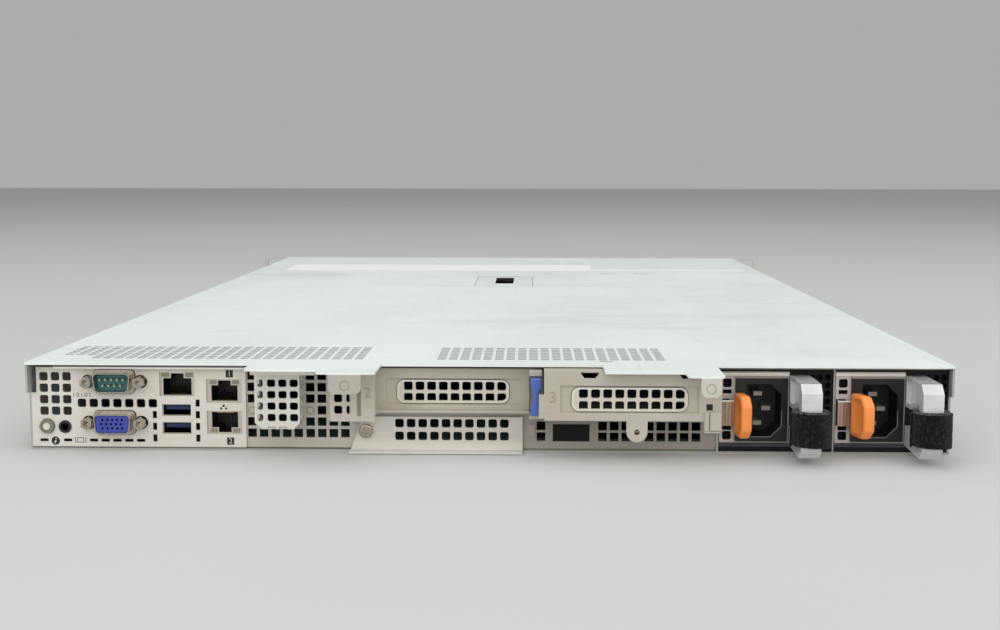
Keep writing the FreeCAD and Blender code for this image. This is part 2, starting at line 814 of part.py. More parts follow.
def dsub_outline(up, inset):
    """The slant-sided outline of the shell, a set distance inside its outer face."""
    wide = f"(dsub_width / 2 - ({inset}))"
    narrow = f"(dsub_width / 2 - dsub_taper - ({inset}))"
    tall = f"(dsub_height / 2 - ({inset}))"
    return loop((f"dsub_across - {narrow}", f"{up} - {tall}"), (f"dsub_across + {narrow}", f"{up} - {tall}"),
                (f"dsub_across + {wide}", f"{up} + {tall}"), (f"dsub_across - {wide}", f"{up} + {tall}"),
                radius=f"dsub_corner - ({inset})")


port_mouth = f"({rear} - dsub_reach)"
flange_back = f"({panel_back} + dsub_flange)"
for port, port_up, port_floor in (
        ("serial", "serial_up", "serial_floor"), ("vga", "video_up", "video_floor")):
    shell = Piece(port + "_shell")
    shell.pad("Y", panel_back, flange_back, centred(
        "dsub_across", port_up, "dsub_flange_width", "dsub_flange_height"))
    shell.pad("Y", f"{rear} - dsub_rim", panel_back, centred(
        "dsub_across", port_up, "dsub_rim_width", "dsub_rim_height", "dsub_corner"))
    shell.pad("Y", port_mouth, f"{rear} - dsub_rim", dsub_outline(port_up, "0"))
    shell.cut("Y", port_mouth, flange_back, dsub_outline(port_up, "dsub_wall"))
    for side in ("-", "+"):
        shell.cut("Y", panel_back, flange_back, Disc(
            f"dsub_across {side} post_spacing / 2", port_up, "post_radius + slip"))
    insert = Piece(port + "_insert")
    insert.pad("Y", f"{port_mouth} + {port_floor}", f"{panel_back} + insert_depth",
               dsub_outline(port_up, "dsub_wall + insert_gap"))
    if port == "serial":
        for row_count, row_shift in ((5, "pin_rows / 2"), (4, "-pin_rows / 2")):
            pin = insert.pad("Y", f"{port_mouth} + contact_short", f"{port_mouth} + serial_floor", Disc(
                f"dsub_across - {(row_count - 1) / 2} * pin_pitch", f"{port_up} + ({row_shift})",
                "pin_radius"))
            insert.grid(pin, columns=row_count, pitch="pin_pitch")
    else:
        for row_shift, row_slide in (("-video_rows", "0"), ("0", "-video_pitch / 4"), ("video_rows", "0")):
            contact = insert.cut("Y", f"{port_mouth} + video_floor",
                                 f"{port_mouth} + video_floor + video_hole_depth", Disc(
                                     f"dsub_across - 2 * video_pitch + {row_slide}",
                                     f"{port_up} + ({row_shift})", "video_hole"))
            insert.grid(contact, columns=5, pitch="video_pitch")

# Jackposts: four hexagon posts that hold the two shells to the panel
posts = Piece("port_jackposts")
for port_up in ("serial_up", "video_up"):
    for side in ("-", "+"):
        middle = f"dsub_across {side} post_spacing / 2"
        hexagon = [(f"{middle} + post_radius * {math.cos(math.radians(turn)):.6f}",
                    f"{port_up} + post_radius * {math.sin(math.radians(turn)):.6f}")
                   for turn in range(30, 390, 60)]
        posts.pad("Y", f"{rear} - post_reach", flange_back, loop(*hexagon))
        posts.cut("Y", f"{rear} - post_reach", f"{rear} - post_reach + post_bore_depth",
                  Disc(middle, port_up, "post_bore"))

# Network jacks: the single management jack over the USB block, and the stacked pair
jacks = Piece("network_jacks")
jack_back = f"({panel_back} + jack_depth)"
usb_block_high = "(usb_upper_up + usb_height / 2 + 2 * jack_rim)"


def jack_hollow(across, low, high, latch_up, width="plug_width", height="plug_height"):
    """A plug opening with its latch notch above or below."""
    middle = f"(({low} + {high}) / 2)"
    tall = "(plug_height + tab_height) / 2"
    step, tip = (f"({middle} + {tall} - tab_height)", f"{middle} + {tall}")
    base = f"{step} - {height}"
    if not latch_up:
        step, tip = (f"({middle} - ({tall}) + tab_height)", f"{middle} - {tall}")
        base = f"{step} + {height}"
    return loop((f"{across} - {width} / 2", base), (f"{across} + {width} / 2", base),
                (f"{across} + {width} / 2", step), (f"{across} + tab_width / 2", step),
                (f"{across} + tab_width / 2", tip), (f"{across} - tab_width / 2", tip),
                (f"{across} - tab_width / 2", step), (f"{across} - {width} / 2", step))


jacks.pad("Y", panel_back, jack_back,
          box("management_across - management_width / 2 - jack_rim", usb_block_high,
              "management_across + management_width / 2 + jack_rim", "management_high + jack_rim"),
          box("lan_across - lan_width / 2 - jack_rim", board_top,
              "lan_across + lan_width / 2 + jack_rim", "lan_upper_high + jack_rim"))
jacks.cut("Y", panel_back, f"{panel_back} + plug_depth",
          jack_hollow("management_across", "management_low", "management_high", True,
                      "management_plug_width", "management_plug_height"),
          jack_hollow("lan_across", "lan_upper_low", "lan_upper_high", True),
          jack_hollow("lan_across", "lan_lower_low", "lan_lower_high", False))

# USB: one double connector on the board, with a contact tongue in each port
usb = Piece("usb_ports")
usb.pad("Y", panel_back, f"{panel_back} + usb_depth", box(
    "usb_across - usb_width / 2 - jack_rim", board_top,
    "usb_across + usb_width / 2 + jack_rim", usb_block_high))
tongues = Piece("usb_tongues")
for port_up in ("usb_lower_up", "usb_upper_up"):
    usb.cut("Y", panel_back, f"{panel_back} + usb_hollow", centred(
        "usb_across", port_up, "usb_width - 2 * usb_rim", "usb_height - 2 * usb_rim"))
    tongues.pad("Y", f"{panel_back} + tongue_short", f"{panel_back} + usb_hollow", centred(
        "usb_across", f"{port_up} + tongue_height / 2", "tongue_width", "tongue_height"))

# Round button and round jack of the connector panel
button = Piece("id_button")
button.pad("Y", f"{rear} - button_proud", f"{rear} - button_proud + button_long",
           Disc("button_across", "button_up", "button_radius"))
button.cut("Y", f"{rear} - button_proud", f"{rear} - button_proud + button_groove_depth",
           Disc("button_across", "button_up", "button_lens + button_groove"),
           Disc("button_across", "button_up", "button_lens"))
socket = Piece("id_jack")
socket.pad("Y", f"{rear} - gauge / 2", f"{rear} - gauge / 2 + socket_long",
           Disc("socket_across", "socket_up", "socket_radius"),
           Disc("socket_across", "socket_up", "socket_bore"))


def embossed_filler(label, left, right, face):
    """A slot filler: a flat blank behind its window, with a raised field of square holes."""
    filler = Piece(label)
    behind = f"({face} + gauge)"
    raised = f"({face} - emboss_height)"
    filler.pad("Y", face, behind, box(f"{left} - filler_lap", "window_low - filler_lap",
                                      f"{right} + filler_lap", "window_high + filler_lap"))
    filler.pad("Y", raised, face, box(f"{left} + emboss_inset", "emboss_low",
                                      f"{right} - emboss_inset", "emboss_high", "emboss_corner"))
    filler.cut("Y", f"{raised} + gauge", behind, box(
        f"{left} + emboss_inset + gauge", "emboss_low + gauge",
        f"{right} - emboss_inset - gauge", "emboss_high - gauge", "emboss_corner - gauge"))
    field = filler.cut("Y", raised, f"{raised} + gauge", centred(
        f"{left} + filler_vent_inset", "filler_vent_up", "vent_hole", "vent_hole", "vent_corner"))
    filler.grid(field, columns=9, pitch="vent_pitch", rows=2, row_pitch="vent_pitch")


# Riser cage of slot 2: a window frame on the wall, a ledge, a folded post and a small perforated flag
cage_two = Piece("riser_two_cage")
post_face = f"({rear} - post_two_reach)"
cage_two.pad("Y", rear, panel_back,
             box("riser_two_left - gauge", "riser_low", "riser_two_right", "riser_high"),
             box("window_two_left", "window_low", "window_two_right", "window_high"))
cage_two.pad("Z", "ledge_high - gauge", "ledge_high", box(
    "riser_two_left", f"{rear} - ledge_reach", "riser_two_right", rear))
cage_two.pad("X", "riser_two_left - gauge", "riser_two_left",
             box(post_face, "post_two_low", rear, "riser_high"))
cage_two.pad("Y", post_face, f"{post_face} + gauge", loop(
    ("flag_left", "flag_low"), ("riser_two_left", "flag_low"), ("riser_two_left", "riser_high"),
    ("post_two_left", "riser_high"), ("post_two_left", "post_two_low"), ("flag_right", "post_two_low"),
    ("flag_right", "flag_high"), ("flag_left", "flag_high")))
for hole_across, hole_width in (("flag_vent_across", "box_vent_width"), ("flag_slot_across", "flag_slot")):
    flag_hole = cage_two.cut("Y", post_face, f"{post_face} + gauge", centred(
        hole_across, "flag_vent_up", hole_width, "box_vent_width", "vent_corner"))
    cage_two.grid(flag_hole, columns=1, pitch="0", rows=2, row_pitch="flag_vent_rows")
cage_two.pad("X", "riser_two_left - gauge", "riser_two_left", box(
    panel_back, "riser_low + 2 * gauge", f"{rear} + riser_leg", "riser_high - 2 * gauge"))
embossed_filler("slot_two_filler", "window_two_left", "window_two_right", panel_back)

# Riser cage of slot 3: a box that stands out behind the wall, with a notched top and hanging tabs
cage_three = Piece("riser_three_cage")
face_three = f"({rear} - riser_three_reach)"
face_three_back = f"({face_three} + gauge)"


def notch(across):
    return loop((f"{across} - notch_foot / 2", "riser_three_high - notch_depth"),
                (f"{across} + notch_foot / 2", "riser_three_high - notch_depth"),
                (f"{across} + notch_width / 2", "riser_three_high"),
                (f"{across} - notch_width / 2", "riser_three_high"))


cage_three.pad("Y", face_three, face_three_back,
               box("riser_three_left", "riser_three_low", "riser_three_right", "riser_three_high"),
               box("window_three_left", "window_low", "window_three_right", "window_high"))
cage_three.pad("Z", "riser_three_high - gauge", "riser_three_high", box(
    "riser_three_left", face_three_back, "riser_three_right", f"{rear} - gauge"))
cage_three.cut("Y", face_three, f"{face_three_back} + notch_depth", notch("notch_left"), notch("notch_right"))
for low_side, high_side in (("riser_three_left", "riser_three_left + gauge"),
                            ("riser_three_right - gauge", "riser_three_right")):
    cage_three.pad("X", low_side, high_side, box(
        face_three_back, "riser_three_low", f"{rear} + riser_leg", "wall_high - 2 * gauge"))
cage_three.pad("Z", "riser_three_low", "riser_three_low + gauge", box(
    "riser_three_left", face_three_back, "riser_three_right", f"{rear} + riser_leg"))
tab_radius = "((riser_tab_right - riser_tab_left) / 2)"
tab_middle = "((riser_tab_left + riser_tab_right) / 2)"
cage_three.pad("Y", face_three, face_three_back, Disc(
    tab_middle, f"riser_tab_low + {tab_radius}", tab_radius))
cage_three.pad("Y", face_three, face_three_back, box(
    "riser_tab_left", f"riser_tab_low + {tab_radius}", "riser_tab_right", "riser_three_low + gauge"))
cage_three.cut("Y", face_three, face_three_back, Disc(tab_middle, "riser_tab_hole_up", "riser_tab_hole"))
cage_three.pad("Y", face_three, face_three_back, box(
    "riser_three_right", "side_post_low", "side_post_right", "side_post_high"))
cage_three.cut("Y", face_three, face_three_back, box(
    "riser_three_right + gauge", "side_post_high - 3 * side_hook",
    "riser_three_right + gauge + side_hook", "side_post_high - 2 * side_hook"))
cage_three.pad("Y", face_three, face_three_back, box(
    "side_tab_left", "side_tab_low", "riser_three_left", "side_tab_high"))
embossed_filler("slot_three_filler", "window_three_left", "window_three_right", face_three_back)

# Riser cards: two upright boards that stand on the motherboard inside the cages
cards = Piece("riser_cards")
for card_across, card_low in (
        ("card_two_across", board_top), ("card_three_across", "riser_three_low + gauge")):
    cards.pad("X", card_across, f"{card_across} + card_gauge", box(
        f"{rear} + card_rear", card_low, f"{rear} + card_rear + card_long", "card_high"))

# Lower slot panel: a slanted blank with a rear lip, held by one screw
lower = Piece("lower_panel")
lower_face = f"({rear} - gauge)"
lower.pad("Y", lower_face, rear, loop(
    ("lower_left", "lower_low"), ("lower_right", "lower_low"),
    ("lower_right", "lower_high"), ("lower_left + lower_slant", "lower_high")))
lower.pad("Z", "lower_low", "lower_low + gauge", box(
    "lower_left", f"{rear} - lower_lip", "lower_right", lower_face))
lower_hole = lower.cut("Y", lower_face, rear, centred(
    "lower_vent_across", "lower_vent_up", "vent_hole", "vent_hole", "vent_corner"))
lower.grid(lower_hole, columns=10, pitch="vent_pitch", rows=2, row_pitch="lower_vent_rows")
lower.cut("Y", lower_face, rear, Disc("screw_across", "screw_up", "screw_radius + pin_fit"))
screw = Piece("panel_screw")
screw.pad("Y", f"{lower_face} - screw_head", lower_face, Disc(
    "screw_across", "screw_up", "screw_head_radius"))
screw.pad("Y", lower_face, panel_back, Disc("screw_across", "screw_up", "screw_radius"))

# Slot latch: a waisted blue lever on a pin, on a shelf beside the slot 2 frame
shelf_low = "(latch_low - slip - shelf_gauge)"
cage_two.pad("Z", shelf_low, f"{shelf_low} + shelf_gauge", box(
    "riser_two_right", f"{rear} - latch_reach + 2 * gauge", "latch_right", panel_back))
cage_two.cut("Z", shelf_low, f"{shelf_low} + shelf_gauge", Disc(
    "latch_pin_across", f"{rear} - latch_pin_back", "latch_pin + pin_fit"))
cage_two.pad("Z", "cap_low", "cap_high", box(
    "riser_two_right", f"{rear} - cap_reach", "latch_right", panel_back))
slot_latch = Piece("slot_latch")
slot_latch.pad("Z", "latch_low", "latch_high", box(
    "latch_left", f"{rear} - latch_reach", "latch_right", f"{rear} - latch_front", "gauge"))
slot_latch.cut("X", "latch_left", "latch_right", box(
    f"{rear} - latch_reach", "latch_low + 4 * gauge",
    f"{rear} - latch_reach + latch_waist", "latch_high - 4 * gauge"))
slot_latch.pad("Z", "latch_low - latch_pin_long", "latch_low", Disc(
    "latch_pin_across", f"{rear} - latch_pin_back", "latch_pin"))

# Top cover: folded sheet with two hoods, two hanging tabs, perforated fields and a pan for its latch
cover = Piece("top_cover")
cover_rear = f"({rear} - cover_overhang)"
cover_front = f"({rear} + cover_length)"
cover.pad("Z", lid, "chassis_height", loop(
    (f"-{half}", cover_rear), ("hood_left", cover_rear), ("hood_left", f"{rear} - hood_reach"),
    ("hood_step", f"{rear} - hood_reach"), ("hood_step", f"{rear} - hood_far"),
    ("hood_right", f"{rear} - hood_far"), ("hood_right", cover_rear), ("porch_left", cover_rear),
    ("porch_left", f"{rear} - porch_reach"), ("porch_step", f"{rear} - porch_reach"),
    ("porch_step", f"{rear} - porch_far"), ("porch_right", f"{rear} - porch_far"),
    ("porch_right", cover_rear), (half, cover_rear), (half, cover_front), (f"-{half}", cover_front),
    radius="cover_corner"))
cover.pad("Y", f"{rear} - hood_reach", f"{rear} - hood_reach + gauge", box(
    "hood_left + 2 * cover_corner", f"{lid} - hood_lip", "hood_step - cover_corner", lid))
for tab_left, tab_right, tab_low, tab_reach in (
        ("hood_tab_left", "hood_tab_right", "hood_tab_low", "hood_far"),
        ("porch_tab_left", "porch_tab_right", "porch_tab_low", "porch_far")):
    cover.pad("Y", f"{rear} - {tab_reach}", f"{rear} - {tab_reach} + gauge", box(
        tab_left, f"{tab_low} + hood_tab_corner", tab_right, lid))
    cover.pad("Y", f"{rear} - {tab_reach}", f"{rear} - {tab_reach} + gauge", box(
        f"{tab_left} + hood_tab_corner", tab_low,
        f"{tab_right} - hood_tab_corner", f"{tab_low} + hood_tab_corner"))
    cover.pad("Y", f"{rear} - {tab_reach}", f"{rear} - {tab_reach} + gauge",
              Disc(f"{tab_left} + hood_tab_corner", f"{tab_low} + hood_tab_corner", "hood_tab_corner"),
              Disc(f"{tab_right} - hood_tab_corner", f"{tab_low} + hood_tab_corner", "hood_tab_corner"))
    cover.cut("Y", f"{rear} - {tab_reach}", f"{rear} - {tab_reach} + dimple_depth", Disc(
        f"({tab_left} + {tab_right}) / 2", f"{tab_low} + dimple_rise", "hood_dimple"))
for low_side, high_side in ((f"-({inner} - slip)", f"-({inner} - slip - gauge)"),
                            (f"{inner} - slip - gauge", f"{inner} - slip")):
    cover.pad("X", low_side, high_side, box(
        f"{rear} + bay_depth + cover_flange_rear", f"{lid} - cover_flange",
        f"{cover_front} - cover_flange_front", lid))
lever_back = f"({rear} + lever_rear)"
lever_front = f"({rear} + lever_rear + lever_long)"
pin_along = f"({lever_front} - lever_pin)"
pin_up = "(chassis_height - slip - lever_pin)"
pan_floor = f"({lid} - pan_depth)"
cover.cut("Z", lid, "chassis_height",
          centred("cover_slot_across", f"{rear} + cover_slot_rear", "cover_slot_width", "cover_slot_long"),
          box("-lever_width / 2 - slip", f"{lever_back} - slip",
              "lever_width / 2 + slip", f"{lever_front} + slip"),
          *[centred(slot_across, f"{rear} + front_slot_along", slot_width, "front_slot_long")
            for slot_across, slot_width in (("front_slot_first", "cover_slot_width"),
                                            ("front_slot_second", "front_slot_broad"),
                                            ("front_slot_third", "front_slot_broad"))])
cover.pad("Z", pan_floor, lid,
          box("-lever_width / 2 - slip - gauge", f"{lever_back} - slip - gauge",
              "lever_width / 2 + slip + gauge", f"{lever_front} + slip + gauge"),
          box("-lever_width / 2 - slip", f"{lever_back} - slip",
              "lever_width / 2 + slip", f"{lever_front} + slip"))
cover.pad("Z", f"{pan_floor} - gauge", pan_floor,
          box("-lever_width / 2 - slip - gauge", f"{lever_back} - slip - gauge",
              "lever_width / 2 + slip + gauge", f"{lever_front} + slip + gauge"))
cover.cut("X", "-lever_width / 2 - slip - gauge", "lever_width / 2 + slip + gauge",
          Disc(pin_along, pin_up, "lever_pin + pin_fit"))
cover_fields = (
    ("cover_vent_near", "cover_vent_rear", 2, 3, 8),
    ("cover_vent_left", "cover_vent_rear + 2 * vent_pitch", 6, 3, 9),
    ("cover_vent_right", "cover_vent_rear", 8, 4, 5))
for field_across, field_back, field_rows, strip_columns, strips in cover_fields:
    # each perforated field is let in as strips, so that no face carries more than a few dozen holes
    field_left = f"{field_across} - vent_pitch / 2"
    field_low = f"{rear} + {field_back} - vent_pitch / 2"
    field_high = f"{field_low} + {field_rows} * vent_pitch"
    cover.cut("Z", lid, "chassis_height", box(
        field_left, field_low, f"{field_left} + {strips * strip_columns} * vent_pitch", field_high))
    strip = cover.pad("Z", lid, "chassis_height", box(
        field_left, field_low, f"{field_left} + {strip_columns} * vent_pitch", field_high))
    cover.grid(strip, strips, f"{strip_columns} * vent_pitch")
for field_across, field_back, field_rows, strip_columns, strips in cover_fields:
    field = cover.cut("Z", lid, "chassis_height", centred(
        field_across, f"{rear} + {field_back}", "cover_vent", "cover_vent"))
    cover.grid(field, strips * strip_columns, "vent_pitch", field_rows, "vent_pitch")

# Cover latch: a flat lever with a finger hole that turns on its pin in the pan
lever = Piece("cover_latch")
lever.pad("Z", "chassis_height - slip - lever_gauge", "chassis_height - slip", box(
    "-lever_width / 2", lever_back, "lever_width / 2", pin_along))
lever.cut("Z", "chassis_height - slip - lever_gauge", "chassis_height - slip", box(
    "-lever_finger_width / 2", f"{lever_back} + lever_finger_rear",
    "lever_finger_width / 2", f"{lever_back} + lever_finger_rear + lever_finger_long", "4 * gauge"))
lever.pad("X", "-lever_width / 2 - slip - gauge", "lever_width / 2 + slip + gauge",
          Disc(pin_along, pin_up, "lever_pin"))

# Power supply cage: left wall, divider and roof of the two bays
psu_cage = Piece("psu_cage")
roof_low = "(gauge + slip + psu_height + slip)"
divider_right = "(bay_left + psu_pitch)"
psu_cage.pad("Y", rear, f"{rear} + bay_depth", loop(
    ("bay_left - gauge", "gauge"), ("bay_left", "gauge"), ("bay_left", roof_low),
    (f"{divider_right} - divider", roof_low), (f"{divider_right} - divider", "gauge"),
    (divider_right, "gauge"), (divider_right, roof_low), (inner, roof_low),
    (inner, f"{roof_low} + bay_top"), ("bay_left - gauge", f"{roof_low} + bay_top")))

# Power supplies: each slides out with its inlet, handle and strap, and has a sprung thumb latch
strap_left = "handle_left - slip"
strap_right = "handle_left + handle_width + slip"
strap_front = "-(handle_reach - handle_grip) + slip"
strap_rear = "-handle_reach - slip"
mouth_right = "(inlet_mouth_left + inlet_mouth_width)"
mouth_high = "(inlet_mouth_low + inlet_mouth_height)"
blade_up = "(inlet_mouth_low + inlet_mouth_height / 2)"
for number in (1, 2):
    place = (f"bay_left + slip + {number - 1} * psu_pitch", rear, "gauge + slip")

    case = Piece(f"psu_case_{number}", place)
    case.pad("Y", "0", "psu_length", box("0", "0", "psu_width", "psu_height"))
    case.cut("Y", "0", "inlet_depth", box(
        "inlet_left", "inlet_low", "inlet_left + inlet_width", "inlet_low + inlet_height"))
    case.cut("Y", "0", "spring_long + gauge", box(
        "slip", "spring_low - slip", "slip + spring_room", "spring_high + slip"))
    case.cut("Y", "0", "psu_vent_depth",
             centred("psu_vent_across", "psu_vent_low", "vent_hole", "vent_hole", "vent_corner"),
             centred("psu_vent_across", "psu_vent_high", "vent_hole", "vent_hole", "vent_corner"),
             centred("psu_vent_across", "psu_vent_slot_low", "vent_hole", "psu_vent_slot"),
             centred("psu_vent_across", "psu_vent_slot_high", "vent_hole", "psu_vent_slot"))
    grille = case.cut("Y", "0", "psu_vent_depth", Disc("grille_across", "grille_up", "grille_hole"))
    case.grid(grille, columns=3, pitch="grille_pitch", rows=5, row_pitch="grille_pitch")

    inlet = Piece(f"psu_inlet_{number}", place)
    inlet.pad("Y", "-inlet_proud", "inlet_depth", box(
        "inlet_left", "inlet_low", "inlet_left + inlet_width", "inlet_low + inlet_height"))
    inlet.cut("Y", "-inlet_proud", "inlet_mouth_depth - inlet_proud", loop(
        ("inlet_mouth_left", "inlet_mouth_low"), (f"{mouth_right} - inlet_mouth_cut", "inlet_mouth_low"),
        (mouth_right, "inlet_mouth_low + inlet_mouth_cut"), (mouth_right, f"{mouth_high} - inlet_mouth_cut"),
        (f"{mouth_right} - inlet_mouth_cut", mouth_high), ("inlet_mouth_left", mouth_high)))
    for blade_across, blade_rise in (("- blade_offset", "- blade_spacing"), ("+ blade_offset", "+ 0"),
                                     ("- blade_offset", "+ blade_spacing")):
        inlet.pad("Y", "inlet_mouth_depth - inlet_proud - blade_long",
                  "inlet_mouth_depth - inlet_proud", centred(
            f"inlet_mouth_left + inlet_mouth_width / 2 {blade_across}", f"{blade_up} {blade_rise}",
            "blade_width", "blade_gauge"))

    handle = Piece(f"psu_handle_{number}", place)
    handle.pad("X", "handle_left", "handle_left + handle_width", loop(
        ("0", "handle_top"), ("-handle_reach + handle_corner", "handle_top"),
        ("-handle_reach", "handle_top - handle_corner"), ("-handle_reach", "handle_low + handle_corner"),
        ("-handle_reach + handle_corner", "handle_low"), ("0", "handle_low + gauge"),
        ("0", "handle_arm_low"), ("-handle_root", "handle_arm_low"),
        ("-handle_reach + handle_grip + handle_corner", "handle_gap_low"),
        ("-handle_reach + handle_grip", "handle_gap_low"), ("-handle_reach + handle_grip", "handle_gap_high"),
        ("-handle_reach + handle_grip + handle_corner", "handle_gap_high"),
        ("-handle_root", "handle_arm_high"), ("0", "handle_arm_high")))
    for low_face, high_face in (("handle_left", "handle_left + handle_recess"),
                                ("handle_left + handle_width - handle_recess", "handle_left + handle_width")):
        handle.cut("X", low_face, high_face, loop(
            ("-handle_rim", "handle_arm_high + handle_rim"),
            ("-handle_root", "handle_arm_high + handle_rim"),
            ("-handle_reach + handle_grip + handle_rim", "handle_gap_high + handle_rim"),
            ("-handle_reach + handle_grip + handle_rim", "handle_top - handle_rim"),
            ("-handle_rim", "handle_top - handle_rim")))

    strap = Piece(f"psu_strap_{number}", place)
    strap.pad("Z", "strap_low", "strap_high",
              box(f"{strap_left} - strap_side", f"{strap_rear} - strap_wrap",
                  f"{strap_right} + strap_side", f"{strap_front} + strap_wrap", "strap_corner"),
              box(strap_left, strap_rear, strap_right, strap_front))

    spring = Piece(f"psu_spring_{number}", place)
    spring.pad("Z", "spring_low", "spring_high", loop(
        ("spring_across", "-spring_stand - spring_gauge"), ("spring_foot", "-spring_stand - spring_gauge"),
        ("spring_foot", "-spring_stand"), ("spring_across + spring_gauge", "-spring_stand"),
        ("spring_across + spring_gauge", "spring_long"), ("spring_across", "spring_long")))

    thumb = Piece(f"psu_latch_{number}", place)
    thumb_face = "(-spring_stand - spring_gauge)"
    thumb.pad("X", "thumb_left", "thumb_left + thumb_width", loop(
        (thumb_face, "thumb_low"), (thumb_face, "thumb_high"),
        ("-thumb_reach + thumb_corner", "thumb_high"), ("-thumb_reach", "thumb_high - thumb_corner"),
        ("-thumb_reach", "thumb_low + thumb_corner"), ("-thumb_reach + thumb_corner", "thumb_low"),
        radius="thumb_round"))
    dish = thumb.add("PartDesign::SubtractiveSphere")
    dish.setExpression("Radius", bound("thumb_dish"))
    dish.setExpression("AttachmentOffset.Base.x", bound("thumb_left + thumb_dish_depth - thumb_dish"))
    dish.setExpression("AttachmentOffset.Base.y", bound(f"(-thumb_reach + {thumb_face}) / 2"))
    dish.setExpression("AttachmentOffset.Base.z", bound("(thumb_low + thumb_high) / 2"))

# Rack ears: angle pieces on the chassis sides with slotted holes and a control pod
for label, side in (("left_ear", "-1"), ("right_ear", "1")):
    ear = Piece(label)
    ear.pad("Z", "gauge / 2", "chassis_height - gauge / 2", loop(
        (f"{side} * ear_span / 2", front), (f"{side} * ({half} + ear_leg_gauge)", front),
        (f"{side} * ({half} + ear_leg_gauge)", f"{front} - ear_leg"),
        (f"{side} * {half}", f"{front} - ear_leg"),
        (f"{side} * {half}", front), (f"{side} * ({half} - ear_lap)", front),
        (f"{side} * ({half} - ear_lap)", f"{front} + ear_gauge"),
        (f"{side} * ear_span / 2", f"{front} + ear_gauge")))
    hole_across = f"{side} * rack_hole_spacing / 2"
    hole_rises = ("chassis_height / 2 - rack_hole_rise / 2", "chassis_height / 2 + rack_hole_rise / 2")
    for way in ("-", "+"):
        ear.cut("Y", front, f"{front} + ear_gauge", *[
            Disc(f"{hole_across} {way} (rack_slot / 2 - rack_hole_radius)", rise, "rack_hole_radius")
            for rise in hole_rises])
    ear.cut("Y", front, f"{front} + ear_gauge", *[
        centred(hole_across, rise, "rack_slot - 2 * rack_hole_radius", "2 * rack_hole_radius")
        for rise in hole_rises])
    pod_across = f"{side} * (ear_span / 2 - pod_width / 2 - gauge)"
    ear.pad("Y", f"{front} + ear_gauge", f"{front} + ear_gauge + pod_reach", centred(
        pod_across, "chassis_height / 2", "pod_width", "pod_height", "pod_corner"))
    if label == "right_ear":
        ear.cut("Y", f"{front} + ear_gauge + pod_reach + power_proud - power_long - power_travel",
                f"{front} + ear_gauge + pod_reach", Disc(
                    pod_across, "chassis_height / 2", "power_radius + slip"))
power = Piece("power_button")
power_face = f"({front} + ear_gauge + pod_reach + power_proud)"
power.pad("Y", f"{power_face} - power_long", power_face, Disc(
    "ear_span / 2 - pod_width / 2 - gauge", "chassis_height / 2", "power_radius"))

# Drive cage: fixed front top, dividers between the bays and a slotted grille above them
bay_pitch = f"({inner} / 2)"
cage = Piece("drive_cage")
cage_rear = f"({front} - cage_depth)"
plane_front = f"({front} - carrier_long - slip)"
cage.pad("Y", cage_rear, front, box(f"-{half}", lid, half, "chassis_height"))
cage.pad("Y", f"{plane_front} + slip", front, *[
    box(f"{column} * {bay_pitch} - gauge / 2", "gauge", f"{column} * {bay_pitch} + gauge / 2", lid)
    for column in (-1, 0, 1)])
for row_left, row_along in (("cage_dimple_left", "2 * cage_dimple_far + cage_dimple_near"),
                            ("cage_dimple_left", "cage_dimple_far + cage_dimple_shift"),
                            ("cage_dimple_left - cage_dimple_shift", "cage_dimple_near"),
                            ("cage_dimple_left + cage_dimple_far + cage_dimple_shift", "cage_dimple_near")):
    dimple = cage.cut("Z", "chassis_height - dimple_depth", "chassis_height", Disc(
        row_left, f"{front} - ({row_along})", "cage_dimple"))
    cage.grid(dimple, columns=4, pitch="cage_dimple_pitch")
cage.pad("Y", f"{front} - gauge", front, box(f"-{inner}", "grille_low", inner, lid))
front_slot = cage.cut("Y", f"{front} - gauge", front, centred(
    "-12.5 * front_slot_pitch", "(grille_low + chassis_height - gauge - front_slot_rows) / 2",
    "front_slot_width", "front_slot_height"))
cage.grid(front_slot, columns=26, pitch="front_slot_pitch", rows=2, row_pitch="front_slot_rows")

